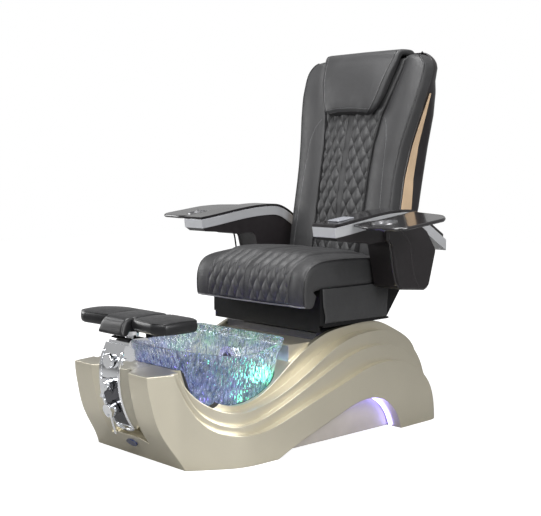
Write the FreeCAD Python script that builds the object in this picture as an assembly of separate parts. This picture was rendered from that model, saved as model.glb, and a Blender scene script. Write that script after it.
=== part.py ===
"""Pedicure spa chair: a wave-sided base with a clear foot bowl, a tap column with a footrest,
a sliding seat with a reclining massage back, and two lifting arms with fold-up trays.

Millimetres. +X is the sitter's left, +Y runs to the back, +Z is up, and the floor is z = 0.
Lengths along Y are set out from a datum just ahead of the base, and every finished piece is
moved by -MIDDLE, so that the origin lies on the floor under the middle of the chair.
"""

import FreeCAD
import Part
import math
import os

V = FreeCAD.Vector

# Overall
MIDDLE = 745.0  # from the front datum to the middle of the chair's length

# Base shell: half widths of its stepped layers, and its wall
BASE_HALF = 357.0
BASE_WALL = 6.0
STEP_1 = 24.0  # how far the second layer stands in from the outer band
STEP_2 = 21.0  # the third from the second
STEP_3 = 44.0  # the innermost from the third
BASE_REAR = 1356.0
BASE_RIM = 318.0  # height of the flat front rim
DECK_Z = 360.0  # deck that carries the seat slide
DECK_FRONT = 641.0  # it rises close behind the bowl
DECK_REAR = 1136.0
DECK_HALF = 250.0

# Side outlines of the base, as (y, z) from front to back
NOSE = [(178, 0), (157, 40), (118, 101), (88, 162), (70, 230), (60, 280), (57, BASE_RIM)]
EDGE_BAND = [(149, BASE_RIM), (167, 262), (199, 191), (255, 130), (331, 107), (400, 103), (470, 113),
             (639, 164), (832, 221), (986, 263), (1066, 265), (1149, 251), (1223, 218), (1290, 160),
             (1330, 80), (1348, 0)]
EDGE_SECOND = [(173, BASE_RIM), (188, 270), (223, 196), (276, 149), (349, 131), (420, 137), (569, 185),
               (757, 263), (932, 320), (1010, 327), (1091, 319), (1192, 278), (1270, 215), (1325, 115),
               (1342, 0)]
EDGE_THIRD = [(183, BASE_RIM), (202, 269), (250, 213), (310, 181), (375, 170), (450, 179), (593, 224),
              (782, 321), (933, 372), (1011, 377), (1092, 372), (1204, 325), (1274, 262), (1325, 160),
              (1345, 0)]
EDGE_INNER = [(214, BASE_RIM), (233, 289), (275, 233), (325, 199), (409, 186), (500, 209), (631, 294),
              (726, 350), (810, 385), (940, 403), (1078, 404), (1189, 362), (1299, 291), (1340, 205),
              (1354, 100), (1356, 0)]

# Half of the base's plan, as (x, y), from the nose round to the rear
PLAN = [(205, 50), (212, 75), (235, 157), (264, 199), (301, 255), (330, 302), (348, 350), (355, 450),
        (357, 700), (357, 1150), (354, 1280), (349, 1330), (335, 1356)]

# Lit arch in each side of the base
ARCH = [(470, -12), (593, 40), (784, 104), (909, 138), (961, 140), (1014, 131), (1058, 108), (1100, 65),
        (1132, -12)]
ARCH_BACK = 286.0  # x of the recess's back wall
PANEL_T = 3.0
STRIP_W = 12.0

# Glass bowl: outer half width and its front and rear walls at the rim and at the floor
BOWL_WALL = 9.0
BOWL_RIM = [(120, 388), (200, 384), (260, 376), (335, 361), (423, 351), (500, 355), (560, 366), (610, 381),
            (680, 402)]
BOWL_FLOOR_Z = 142.0
BOWL_LEVELS = [  # height, half width, front, rear, corner radius in front, corner radius behind
    (BOWL_FLOOR_Z, 190, 275, 525, 76, 56),
    (172, 236, 244, 566, 96, 64),
    (235, 250, 222, 592, 110, 62),
    (330, 258, 206, 614, 120, 56),
    (405, 264, 196, 630, 126, 52),
]
LIP = 7.0  # how far the thick rim stands out
LIP_H = 24.0
GASKET_W = 5.0
GAP = 0.3  # clearance that leaves soft and curved faces apart

# Jet, drain and light in the bowl
JET_X, JET_Z = 0.0, 285.0
JET_R = 48.0
JET_BORE_R = 22.0
IMPELLER_R = 24.0
SHAFT_R = 4.0
RUN = 0.05  # running clearance of a shaft in its bore
DRAIN_Y = 400.0
DRAIN_R = 21.0
LIGHT_X, LIGHT_Z, LIGHT_R = 140.0, 250.0, 28.0

# Tap column
COLUMN_HALF = 57.0
COLUMN_T = 40.0
COLUMN_FRONT = [(84, 400), (66, 350), (60, 300), (64, 240), (80, 185), (100, 142), (124, 112)]
COLUMN_TOP = 418.0
HOUSING_REAR = 182.0
POCKET_HALF = 107.0
FACE_HALF = 46.0
FACE_T = 4.0
FACE_TOP = 285.0
SPRAY_Z, SPRAY_R = 345.0, 25.0
STEM_R = 7.0
DIVERTER_Z = 268.0
MIXER_Z = 186.0
MIXER_TILT = 17.0
HOSE_Y, HOSE_R = 195.0, 9.0  # the supply hoses where they meet the valve

# Footrest
POST_Y, POST_R = 150.0, 14.0
POST_FOOT = 332.0
REST_Z = 450.0  # underside of the pads
REST_T = 43.0
REST_HALF = 250.0
REST_FRONT, REST_REAR = 82.0, 270.0
REST_PLATE_HALF = 205.0
REST_PLATE_REAR = REST_REAR - 18
REST_CENTRE_HALF = 66.0
HOOD_BOTTOM = 432.0
TURN_R = 8.0
HEAD_Z = 436.0

# Seat slide
RAIL_X = 170.0
RAIL_W, RAIL_H = 26.0, 24.0
RAIL_FRONT, RAIL_REAR = 850.0, 1130.0
SLIDE_BASE_HALF = 245.0
SLIDE_BASE_FRONT, SLIDE_BASE_REAR = 785.0, 1132.0
SLIDE_BASE_TOP = 386.0
BLOCK_Y, BLOCK_L = 995.0, 100.0
PLATE_Z, PLATE_T = 412.0, 7.0
SCREW_R, SCREW_Z = 5.0, 399.0

# Recline actuator, under the seat
MOTOR_FRONT, MOTOR_L = 858.0, 245.0
ACTUATOR_Z = 499.0
EYE_Y, EYE_Z, EYE_R = 1185.0, 500.5, 9.0

# Seat
SEAT_HALF = 299.0
SEAT_REAR = 1106.0
SEAT_UNDER = 552.0
SEAT_PLATE_X, SEAT_PLATE_T = 285.0, 8.0
SKIRT_T = 5.5
SKIRT_BOTTOM = 421.0
PANEL_FRONT, PANEL_BOTTOM = 757.0, 395.0
SEAT_PROFILE = [(SEAT_REAR, 642), (1000, 652), (880, 657), (790, 655), (739, 648), (702, 634), (680, 610),
                (669, 575), (667, 535), (671, 494)]

# Back: the front seam line as (z, y), and the outer and inner half widths at the same heights
BACK_Z = [600, 702, 820, 937, 1062, 1181, 1271, 1366, 1412]
BACK_Y = [1127, 1140, 1162, 1182, 1208, 1237, 1262, 1294, 1310]
BACK_OUTER = [258, 262, 265, 264, 276, 300, 315, 317, 292]
BACK_INNER = [120, 122, 126, 128, 132, 150, 180, 205, 208]
GUSSET = 64.0  # depth of the cushions behind the seam
SHELL_DEPTH = 188.0
SHELL_WALL = 5.0
RECLINE_Y, RECLINE_Z = 1165.0, 562.0
RECLINE_PIN_R = 8.0
LUG_IN, LUG_OUT = 268.0, 284.0
SHELL_FOOT = 642.0
LUMBAR_TOP = 722.0
SEAM_GAP = 1.0  # between two cushions sewn side by side

# Quilting of the seat and the back
STRIP_HALF = 16.0
SEAT_PITCH, SEAT_DIAMONDS, DIAMOND_H = 45.0, 4, 88.0
CROWN, PUFF = 7.0, 6.0
BACK_DIAMONDS, BACK_DIAMOND_H, BACK_ROWS = 2, 82.0, 12
BACK_PUFF = 6.0
PILLOW_BOTTOM, PILLOW_TOP = 1222.0, 1444.0

# Massage rods and carriage, set out along the rods from their foot
ROD_FOOT_Y, ROD_FOOT_Z = 1262.0, 700.0
LEAN = 12.8
ROD_X, ROD_R, ROD_L = 60.0, 8.0, 640.0
CARRIAGE_LOW = 180.0
ROLLER_R, ROLLER_DEPTH = 20.0, -34.0

# Arms
ARM_IN, ARM_OUT = 303.0, 412.0
POD_OUT = 425.0
ARM_PIVOT_Y, ARM_PIVOT_Z, ARM_PIVOT_R = 1135.0, 606.0, 11.0
BAND_H = 35.0
PAD_T = 10.0
BAND_TOP = [(704, 776), (840, 795), (955, 811), (1069, 818), (1114, 815), (1155, 801), (1190, 781)]
BAND_TAIL = (1316, 706)
POD = [(962, 722), (988, 704), (1005, 641), (1027, 549), (1044, 537), (1180, 525), (1204, 534), (1246, 675),
       (1176, 770), (975, 790)]
KEYPAD_SLOPE = 7.5

# Trays
TRAY_T = 12.0
TRAY_SLOPE = 6.9
TRAY_Y0, TRAY_Z0 = 800.0, 787.0
TRAY_IN, TRAY_WAIST = 420.0, 442.0  # the inner edge ahead of the hinge, and beside it
TRAY_OUTLINE = [(TRAY_IN, 800), (510, 764), (628, 772), (652, 800), (658, 988), (612, 1040), (470, 1074),
                (TRAY_WAIST, 1095), (TRAY_WAIST, 880), (TRAY_IN, 862)]
TRAY_CORNERS = [10, 40, 30, 30, 40, 30, 30, 10, 8, 8]
CUP_X, CUP_Y, CUP_R = 505.0, 853.0, 39.0
CUP_RING = 6.0
CUP_DEPTH = 12.0
HINGE_X, HINGE_DROP, HINGE_R, HINGE_PIN_R = 445.0, -18.5, 6.0, 3.0
KNUCKLE_Y, KNUCKLE_L = 912.0, 40.0
LEAF_L = 25.0


def spline(points):
    """One smooth edge through the points."""
    curve = Part.BSplineCurve()
    curve.interpolate(points)
    return curve.toShape()


def wire(*runs):
    """A closed wire of runs of points: two points are straight, more are one smooth curve."""
    edges = []
    for run in runs:
        edges.append(Part.makeLine(run[0], run[1]) if len(run) == 2 else spline(run))
    return Part.Wire(edges)


def side(points, x=0.0):
    """Points (y, z) of a side view, set in the plane at x."""
    return [V(x, y, z) for y, z in points]


def plan(points, z=0.0):
    return [V(x, y, z) for x, y in points]


def prism(outline, along):
    return Part.Face(outline).extrude(along)


def side_prism(points, x0, x1):
    """A straight-edged side outline as a solid from x0 to x1."""
    corners = side(points, x0)
    return prism(Part.makePolygon(corners + corners[:1]), V(x1 - x0, 0, 0))


def box(x0, x1, y0, y1, z0, z1):
    return Part.makeBox(x1 - x0, y1 - y0, z1 - z0, V(x0, y0, z0))


def rod(start, along, radius, length):
    return Part.makeCylinder(radius, length, start, along)


def tube(start, along, outer, inner, length):
    return rod(start, along, outer, length).cut(rod(start, along, inner, length))


def join(*solids):
    whole = solids[0]
    for solid in solids[1:]:
        whole = whole.fuse(solid)
    return whole.removeSplitter()


def mirrored(shape):
    return shape.mirror(V(0, 0, 0), V(1, 0, 0))


def both(shape):
    """The shape and its mirror image on the other side, as two solids."""
    return Part.makeCompound([shape, mirrored(shape)])


def soften(shape, radius, chosen):
    """The shape with its chosen edges rounded."""
    edges = [edge for edge in shape.Edges if chosen(edge)]
    return shape.makeFillet(radius, edges) if edges else shape


def along_x(edge):
    ends = edge.Vertexes
    return len(ends) == 2 and abs(ends[0].Y - ends[1].Y) < 0.01 and abs(ends[0].Z - ends[1].Z) < 0.01


def export(name, shape):
    """Writes one named piece, moved so that the origin is under the middle of the chair."""
    placed = shape.copy()
    placed.translate(V(0, -MIDDLE, 0))
    solids = placed.Solids
    good = placed.isValid() and solids and min(solid.Volume for solid in solids) > 0
    print(f"{name}: {len(solids)} solids, {sum(solid.Volume for solid in solids) / 1000:.1f} cm3"
          + ("" if good else " CHECK THIS PIECE"))
    (solids[0] if len(solids) == 1 else Part.makeCompound(solids)).exportStep(f"parts/{name}.step")


def inward(points, distance):
    """The outline moved to its right-hand side by a distance, point by point."""
    moved = []
    for i, (a, b) in enumerate(points):
        before = points[max(i - 1, 0)]
        after = points[min(i + 1, len(points) - 1)]
        da, db = after[0] - before[0], after[1] - before[1]
        size = math.hypot(da, db)
        moved.append((a + distance * db / size, b - distance * da / size))
    return moved


def base_layer(edge, inset, wall):
    """One stepped layer of the base: its side outline, cut by the base's plan drawn in by the inset."""
    nose = inward(NOSE, wall)
    top = inward(edge, wall)
    floor = -1.0 if wall else 0.0
    nose[0] = (nose[0][0], floor)
    top[-1] = (top[-1][0], floor)
    rim = BASE_RIM - wall
    nose[-1] = (nose[-1][0], rim)
    top[0] = (top[0][0], rim)
    block = prism(wire(side(nose), side([nose[-1], top[0]]), side(top), side([top[-1], nose[0]])),
                  V(BASE_HALF, 0, 0))
    half = [(x - inset - wall, y) for x, y in PLAN]
    half[0] = (half[0][0], PLAN[0][1] + wall)
    half[-1] = (half[-1][0], BASE_REAR - wall)
    outline = wire(plan([(0, half[0][1]), half[0]], -10), plan(half, -10),
                   plan([half[-1], (0, half[-1][1])], -10),
                   plan([(0, half[-1][1]), (0, half[0][1])], -10))
    return block.common(prism(outline, V(0, 0, 500)))


def base_half(wall):
    """The +X half of the base's outer body, or of its inside when a wall is given."""
    insets = [0.0, STEP_1, STEP_1 + STEP_2, STEP_1 + STEP_2 + STEP_3]
    edges = [EDGE_BAND, EDGE_SECOND, EDGE_THIRD, EDGE_INNER]
    return join(*[base_layer(edge, inset, wall) for edge, inset in zip(edges, insets)])


def arch_prism(grow, x0, x1):
    """The lit arch's side outline, grown by a margin, from x0 to x1."""
    points = inward(ARCH, -grow)
    outline = wire(side(points, x0), side([points[-1], points[0]], x0))
    return prism(outline, V(x1 - x0, 0, 0))


def bowl_section(level, grow, z=None):
    """A rounded plan section of the bowl, grown by a margin; its front corners are the rounder ones."""
    height, half, front, rear, front_r, rear_r = level
    half, front, rear = half + grow, front - grow, rear + grow
    z = height if z is None else z
    fr, rr = front_r + grow, max(rear_r + grow, 5)
    q = math.sqrt(0.5)

    def point(x, y):
        return V(x, y, z)

    def corner(cx, cy, r, sx, sy):
        return point(cx + sx * r * q, cy + sy * r * q)

    a, b = point(half, rear - rr), point(half - rr, rear)
    c, d = point(-(half - rr), rear), point(-half, rear - rr)
    e, f = point(-half, front + fr), point(-(half - fr), front)
    g, h = point(half - fr, front), point(half, front + fr)
    return Part.Wire([
        Part.Arc(a, corner(half - rr, rear - rr, rr, 1, 1), b).toShape(), Part.makeLine(b, c),
        Part.Arc(c, corner(-(half - rr), rear - rr, rr, -1, 1), d).toShape(), Part.makeLine(d, e),
        Part.Arc(e, corner(-(half - fr), front + fr, fr, -1, -1), f).toShape(), Part.makeLine(f, g),
        Part.Arc(g, corner(half - fr, front + fr, fr, 1, -1), h).toShape(), Part.makeLine(h, a),
    ])


def bowl_body(grow, floor_up=0.0):
    """The solid that fills the bowl's outer shape, grown by a margin, from its floor to above its rim."""
    sections = []
    for i, level in enumerate(BOWL_LEVELS):
        z = level[0] + floor_up if i == 0 else level[0]
        sections.append(bowl_section(level, grow, z))
    return Part.makeLoft(sections, True, False)


def rim_cut(drop):
    """Everything above the bowl's rim line, lowered by a drop."""
    line = [(y, z - drop) for y, z in BOWL_RIM]
    outline = wire(side(line, -400), side([line[-1], (line[-1][0], 460)], -400),
                   side([(line[-1][0], 460), (line[0][0], 460)], -400),
                   side([(line[0][0], 460), line[0]], -400))
    return prism(outline, V(800, 0, 0))


def column_outline(front_in, back_in):
    """The tap column's side outline: the curved front and a back that follows it."""
    front = inward(COLUMN_FRONT[::-1], front_in)[::-1]
    back = inward(COLUMN_FRONT[::-1], COLUMN_T - back_in)
    return wire(side(front), side([front[-1], back[0]]), side(back), side([back[-1], front[0]]))


def slab(outline, half):
    """A side outline made solid on both sides of the middle plane."""
    solid = prism(outline, V(2 * half, 0, 0))
    solid.translate(V(-half, 0, 0))
    return solid


def rounded(points, radii, place):
    """A closed outline with an arc at each corner; place turns its two coordinates into a point."""
    edges = []
    ends = []
    count = len(points)
    for i in range(count):
        p, before, after = points[i], points[i - 1], points[(i + 1) % count]
        u = (before[0] - p[0], before[1] - p[1])
        w = (after[0] - p[0], after[1] - p[1])
        lu, lw = math.hypot(*u), math.hypot(*w)
        u, w = (u[0] / lu, u[1] / lu), (w[0] / lw, w[1] / lw)
        half = math.acos(max(-1, min(1, u[0] * w[0] + u[1] * w[1]))) / 2
        reach = min(radii[i] / math.tan(half), 0.49 * lu, 0.49 * lw)
        radius = reach * math.tan(half)
        bis = (u[0] + w[0], u[1] + w[1])
        size = math.hypot(*bis)
        mid = radius / math.sin(half) - radius
        start = (p[0] + u[0] * reach, p[1] + u[1] * reach)
        end = (p[0] + w[0] * reach, p[1] + w[1] * reach)
        middle = (p[0] + bis[0] / size * mid, p[1] + bis[1] / size * mid)
        ends.append((start, middle, end))
    for i in range(count):
        start, middle, end = ends[i]
        edges.append(Part.Arc(place(*start), place(*middle), place(*end)).toShape())
        edges.append(Part.makeLine(place(*end), place(*ends[(i + 1) % count][0])))
    return Part.Wire(edges)


def between(x, xs, ys):
    """Straight-line reading of a table at x."""
    for i in range(len(xs) - 1):
        if x <= xs[i + 1] or i == len(xs) - 2:
            share = (x - xs[i]) / (xs[i + 1] - xs[i])
            return ys[i] + share * (ys[i + 1] - ys[i])


def on_face(shape, y, z, tilt):
    """A shape built up along +Z, set on the front so that it points forward and down by the tilt."""
    placed = shape.copy()
    placed.rotate(V(0, 0, 0), V(1, 0, 0), 90 + tilt)
    placed.translate(V(0, y, z))
    return placed


def hose(points, radius):
    """A tube along straight runs joined by arcs as large as the shorter run allows."""
    edges = []
    start = points[0]
    for i in range(1, len(points) - 1):
        p = points[i]
        u, w = (points[i - 1] - p), (points[i + 1] - p)
        reach = 0.45 * min(u.Length, w.Length)
        u.normalize()
        w.normalize()
        half = u.getAngle(w) / 2
        a, b = p + u * reach, p + w * reach
        bis = u + w
        bis.normalize()
        arc_r = reach * math.tan(half)
        middle = p + bis * (arc_r / math.sin(half) - arc_r)
        edges.append(Part.makeLine(start, a))
        edges.append(Part.Arc(a, middle, b).toShape())
        start = b
    edges.append(Part.makeLine(start, points[-1]))
    path = Part.Wire(edges)
    ring = Part.Wire(Part.makeCircle(radius, points[0], points[1] - points[0]))
    return path.makePipeShell([ring], True, False)


# Base and bowl

def pocket(half, depth, drop):
    """The column's recess in the nose: flared, so it is wider at the skin than at its floor."""
    def outline(x, d, low):
        line = inward([(138, 72 - low), (118, 101), (88, 162), (70, 230), (60, 280), (57, 330)], d)
        line[-1] = (line[-1][0], 330)
        line[0] = (line[0][0], 72 - low + d * 0.25)
        return wire(side(line, x), side([line[-1], (-40, 330)], x), side([(-40, 330), (-40, line[0][1])], x),
                    side([(-40, line[0][1]), line[0]], x))
    past = -8.0  # the flare runs on past the skin
    wide = half + (POCKET_HALF - COLUMN_HALF - 5) * (1 - past / depth)
    flare = Part.makeLoft([outline(half, depth, drop), outline(wide, past, drop)], True, True)
    core = prism(outline(0, depth, drop), V(half, 0, 0))
    return core.fuse(flare)


def base_shell(outer, hollow):
    solid_round_arch = arch_prism(BASE_WALL, ARCH_BACK - BASE_WALL, BASE_HALF + 20)
    rise = box(0, DECK_HALF, DECK_FRONT, DECK_REAR, 200, DECK_Z)
    outer = outer.fuse(rise)
    hollow = hollow.fuse(box(0, DECK_HALF - BASE_WALL, DECK_FRONT + BASE_WALL, DECK_REAR, 200, DECK_Z - BASE_WALL))
    deck = box(-1, DECK_HALF, DECK_FRONT - 1, DECK_REAR, DECK_Z, 500)
    solid_round_deck = box(-1, DECK_HALF + BASE_WALL, DECK_FRONT, DECK_REAR + BASE_WALL,
                           DECK_Z - BASE_WALL, 500)
    recess = pocket(COLUMN_HALF + 5, COLUMN_T + 10, 0)
    solid_round_recess = pocket(COLUMN_HALF + 5 + BASE_WALL, COLUMN_T + 10 + BASE_WALL, 10)
    hollow = hollow.cut(solid_round_arch).cut(solid_round_deck).cut(solid_round_recess)
    half = outer.cut(hollow).cut(arch_prism(0.0, ARCH_BACK, BASE_HALF + 20)).cut(deck).cut(recess)
    half = half.cut(bowl_body(GASKET_W)).cut(box(-400, 0, 0, 1500, -50, 600))
    half = half.cut(rod(V(JET_X, 600, JET_Z), V(0, 1, 0), JET_R, 80))
    half = half.cut(rod(V(LIGHT_X, 600, LIGHT_Z), V(0, 1, 0), LIGHT_R, 80))
    for stem in stems(STEM_R + 2):
        half = half.cut(stem)
    half = max(half.Solids, key=lambda solid: solid.Volume)
    return join(half, mirrored(half))


def bowl_gasket(outer, hollow):
    wall = outer.cut(hollow)
    ring = bowl_body(GASKET_W - GAP).cut(bowl_body(GAP))
    ring = ring.cut(rod(V(JET_X, 560, JET_Z), V(0, 1, 0), JET_R, 120))
    ring = ring.cut(rod(V(LIGHT_X, 560, LIGHT_Z), V(0, 1, 0), LIGHT_R, 120))
    half = ring.common(wall).common(box(0, 400, 150, 662, 150, 420))
    half = max(half.Solids, key=lambda solid: solid.Volume)
    return join(half, mirrored(half))


def bowl_wall_y(z):
    """The rear wall's outer face at a height, in the middle of the bowl."""
    heights = [level[0] for level in BOWL_LEVELS]
    return between(z, heights, [level[3] for level in BOWL_LEVELS])


def foot_bowl():
    outer = bowl_body(0.0)
    inner = bowl_body(-BOWL_WALL, BOWL_WALL)
    lip = bowl_body(LIP).common(rim_cut(LIP_H))
    glass = outer.fuse(lip).cut(inner).cut(rim_cut(0.0))
    glass = glass.cut(rod(V(JET_X, 540, JET_Z), V(0, 1, 0), JET_BORE_R, 120))
    glass = glass.cut(rod(V(LIGHT_X, 540, LIGHT_Z), V(0, 1, 0), LIGHT_R / 2, 120))
    return glass.cut(rod(V(0, DRAIN_Y, 120), V(0, 0, 1), DRAIN_R + 4, 60)).removeSplitter()


def wall_fitting(x, z, face_r, stem_r, face_t, body_r, body_l, glass):
    """A disc on the inside of the bowl's rear wall, its stem through the wall and a body behind."""
    y = bowl_wall_y(z)
    fitting = join(rod(V(x, y - BOWL_WALL - face_t, z), V(0, 1, 0), face_r, face_t + BOWL_WALL * 0.7),
                   rod(V(x, y - BOWL_WALL, z), V(0, 1, 0), stem_r - GAP, 40),
                   rod(V(x, y + face_r * 0.26 + 2, z), V(0, 1, 0), body_r, body_l))
    return max(fitting.cut(glass).Solids, key=lambda solid: solid.Volume)


def jet_housing(glass):
    y = bowl_wall_y(JET_Z)
    body = wall_fitting(JET_X, JET_Z, JET_R, JET_BORE_R, 22, 40, 42, glass)
    front = y - BOWL_WALL - 22
    body = body.cut(rod(V(JET_X, front - 1, JET_Z), V(0, 1, 0), IMPELLER_R + 3, 19))
    return body.cut(rod(V(JET_X, front, JET_Z), V(0, 1, 0), SHAFT_R + RUN, 60))


def jet_impeller():
    front = bowl_wall_y(JET_Z) - BOWL_WALL - 22
    hub = rod(V(JET_X, front + 3, JET_Z), V(0, 1, 0), 9, 12)
    shaft = rod(V(JET_X, front + 14, JET_Z), V(0, 1, 0), SHAFT_R, 44)
    wheel = join(hub, shaft)
    for i in range(5):
        blade = box(JET_X + 7, JET_X + IMPELLER_R, front + 4, front + 14, JET_Z - 1.5, JET_Z + 1.5)
        blade.rotate(V(JET_X, 0, JET_Z), V(0, 1, 0), 72 * i)
        wheel = wheel.fuse(blade)
    return wheel.removeSplitter()


def drain_flange():
    top = BOWL_FLOOR_Z + BOWL_WALL
    flange = join(rod(V(0, DRAIN_Y, top), V(0, 0, 1), DRAIN_R + 14, 3),
                  rod(V(0, DRAIN_Y, top - 36), V(0, 0, 1), DRAIN_R + 4 - GAP, 36))
    flange = flange.cut(rod(V(0, DRAIN_Y, top - 40), V(0, 0, 1), DRAIN_R, 50))
    web = box(-DRAIN_R - 1, DRAIN_R + 1, DRAIN_Y - 5, DRAIN_Y + 5, top - 30, top - 24)
    web = web.cut(rod(V(0, DRAIN_Y, top - 40), V(0, 0, 1), 3 + RUN, 30))
    return join(flange, web)


def drain_plug():
    top = BOWL_FLOOR_Z + BOWL_WALL + 3
    return join(rod(V(0, DRAIN_Y, top), V(0, 0, 1), DRAIN_R + 4, 4),
                rod(V(0, DRAIN_Y, top - 34), V(0, 0, 1), 3, 36))


def floor_frame():
    bars = []
    for x in (-150, 150):
        bars.append(box(x - 15, x + 15, 232, 1335, 18, 48))
        for y in (700, 1115):
            bars.append(box(x - 15, x + 15, y - 15, y + 15, 48, DECK_Z - BASE_WALL))
        for y in (330, 470):
            bars.append(box(x - 15, x + 15, y - 15, y + 15, 48, BOWL_FLOOR_Z))
    for y in (330, 470, 750, 850, 1115, 1300):
        bars.append(box(-135, 135, y - 12, y + 12, 22, 46))
    return join(*bars)


def levelling_feet():
    feet = []
    for x in (-150, 150):
        for y in (262, 1290):
            feet.append(join(rod(V(x, y, 0), V(0, 0, 1), 20, 9), rod(V(x, y, 9), V(0, 0, 1), 7, 9)))
    return Part.makeCompound(feet)


def arch_panels():
    panel = arch_prism(-1.0, ARCH_BACK, ARCH_BACK + PANEL_T).common(box(0, 400, 400, 1200, 2, 200))
    return both(panel)


def arch_lights():
    strip = arch_prism(-0.5, 300, 300 + STRIP_W).cut(arch_prism(-6.0, 290, 330))
    strip = strip.common(box(0, 400, 890, 1200, 3, 200))
    return both(max(strip.Solids, key=lambda solid: solid.Volume))


def drain_pump():
    return join(box(-60, 60, 738, 862, 46, 55), box(-30, 30, 750, 850, 55, 70),
                rod(V(0, 745, 98), V(0, 1, 0), 42, 110), rod(V(0, 728, 98), V(0, 1, 0), 15, 20))


def water_lines():
    drain = hose([V(0, DRAIN_Y, BOWL_FLOOR_Z + BOWL_WALL - 36), V(0, DRAIN_Y + 4, 92), V(0, 470, 72),
                  V(0, 600, 74), V(0, 690, 98), V(0, 728, 98)], 13)
    lines = [drain]
    for x in (-1, 1):
        lines.append(hose([V(105 * x, 1335, 62), V(105 * x, 1100, 62), V(100 * x, 700, 62), V(92 * x, 400, 62),
                           V(70 * x, 262, 66), V(30 * x, 205, 110), V(20 * x, HOSE_Y, 175),
                           V(20 * x, HOSE_Y, 200)], HOSE_R))
    return Part.makeCompound(lines)


# Tap column

def column_front_y(z):
    heights = [p[1] for p in COLUMN_FRONT[::-1]]
    return between(z, heights, [p[0] for p in COLUMN_FRONT[::-1]])


def face_insert(grow):
    front = inward(COLUMN_FRONT[::-1], -2.0)
    back = inward(COLUMN_FRONT[::-1], FACE_T + grow)
    outline = wire(side(front), side([front[-1], back[-1]]), side(back[::-1]), side([back[0], front[0]]))
    insert = slab(outline, FACE_HALF + grow)
    return insert.common(box(-100, 100, 0, 300, 122 - grow, FACE_TOP + grow))


def column_block():
    outer = slab(column_outline(0.0, 0.0), COLUMN_HALF)
    inner = slab(column_outline(9.0, 4.0), COLUMN_HALF - 4)
    inner = inner.common(box(-100, 100, 0, 400, 122, 384))
    housing = box(-COLUMN_HALF, COLUMN_HALF, 96, HOUSING_REAR, BASE_RIM, COLUMN_TOP)
    housing = soften(housing, 22, lambda e: along_x(e) and e.BoundBox.ZMin > COLUMN_TOP - 1)
    room = box(-COLUMN_HALF + 4, COLUMN_HALF - 4, 110, HOUSING_REAR - 4, BASE_RIM - 1, COLUMN_TOP - 30)
    guide = rod(V(0, POST_Y, BASE_RIM), V(0, 0, 1), POST_R + 6, COLUMN_TOP - BASE_RIM - 10)
    block = outer.cut(inner).fuse(housing.cut(room)).fuse(guide)
    return block.cut(rod(V(0, POST_Y, BASE_RIM - 2), V(0, 0, 1), POST_R + RUN, 120))


def stems(radius):
    """The two valve stems' cylinders, diverter above and mixer below."""
    y_mixer = column_front_y(MIXER_Z)
    upper = on_face(rod(V(0, 0, -84), V(0, 0, 1), radius, 112), column_front_y(DIVERTER_Z), DIVERTER_Z, 0)
    lower = on_face(rod(V(0, 0, -72), V(0, 0, 1), radius, 100), y_mixer, MIXER_Z, MIXER_TILT)
    return upper, lower


def faucet_column():
    spray_y = column_front_y(SPRAY_Z)
    socket = rod(V(0, spray_y + 2, SPRAY_Z), V(0, 1, 0), 17, 36)
    column = column_block().fuse(socket)
    column = column.cut(rod(V(0, 0, SPRAY_Z), V(0, 1, 0), 12 + RUN, spray_y + 34))
    column = column.cut(face_insert(0.15))
    for stem in stems(STEM_R + 1):
        column = column.cut(stem)
    knob = rod(V(COLUMN_HALF, 84, 343), V(1, 0, 0), 15, 6)
    return join(column, knob)


def column_face():
    insert = face_insert(0.0)
    body = slab(column_outline(0.0, 0.0), COLUMN_HALF)
    insert = insert.common(body)
    for stem in stems(STEM_R + 1):
        insert = insert.cut(stem)
    return insert


def valve_body():
    block = box(-32, 32, 143, 174, 180, 292)
    reach = HOSE_Y - HOSE_R - GAP - 174
    inlets = [rod(V(x, 174, 200), V(0, 1, 0), 12, reach) for x in (-20, 20)]
    upper, lower = stems(STEM_R)
    return join(block, upper, lower, *inlets)


def diverter_handle():
    hub = rod(V(0, 0, 4), V(0, 0, 1), 21, 24)
    lever = box(-7, 7, -56, -10, 12, 20)
    lever = soften(lever, 3, lambda e: abs(e.Length - 8) < 0.01)
    lever.rotate(V(0, 0, 0), V(0, 0, 1), -32)
    handle = join(hub, lever).cut(rod(V(0, 0, -5), V(0, 0, 1), STEM_R + RUN, 60))
    cap = rod(V(0, 0, 28.4), V(0, 0, 1), 12, 4)
    rim = tube(V(0, 0, 28), V(0, 0, 1), 12, 9, 0.4)
    return on_face(join(handle, rim, cap), column_front_y(DIVERTER_Z), DIVERTER_Z, 0)


def mixer_parts():
    hub = rod(V(0, 0, 4), V(0, 0, 1), 25, 30).cut(rod(V(0, 0, -5), V(0, 0, 1), STEM_R + RUN, 33.4))
    hub = hub.cut(box(-6.3, 6.3, -30, -9, 12, 40))
    pin = rod(V(-6.3, -16, 22), V(1, 0, 0), 2.5, 12.6)
    lever = box(-6, 6, -88, -12, 18, 27)
    lever = soften(lever, 4, lambda e: abs(e.Length - 9) < 0.01)
    lever = lever.cut(rod(V(-7, -16, 22), V(1, 0, 0), 2.5 + RUN, 14))
    y = column_front_y(MIXER_Z)
    cap = on_face(join(hub, pin), y, MIXER_Z, MIXER_TILT)
    return cap, on_face(lever, y, MIXER_Z, MIXER_TILT)


def spray_head():
    y = column_front_y(SPRAY_Z)
    head = rod(V(0, y - 18, SPRAY_Z), V(0, 1, 0), SPRAY_R, 12)
    head = soften(head, 3, lambda e: e.BoundBox.YMax < y - 17)
    return join(head, rod(V(0, y - 7, SPRAY_Z), V(0, 1, 0), 12, 38))


def front_medallion(outer):
    oval = Part.Ellipse(V(0, 0, 0), 29, 15).toShape()
    disc = prism(Part.Wire(oval), V(0, 0, 16))
    disc.translate(V(0, 0, -12))
    placed = on_face(disc, 147, 54, 32)
    solids = placed.cut(outer).cut(mirrored(outer)).Solids
    return max(solids, key=lambda solid: solid.Volume)


# Footrest

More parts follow.
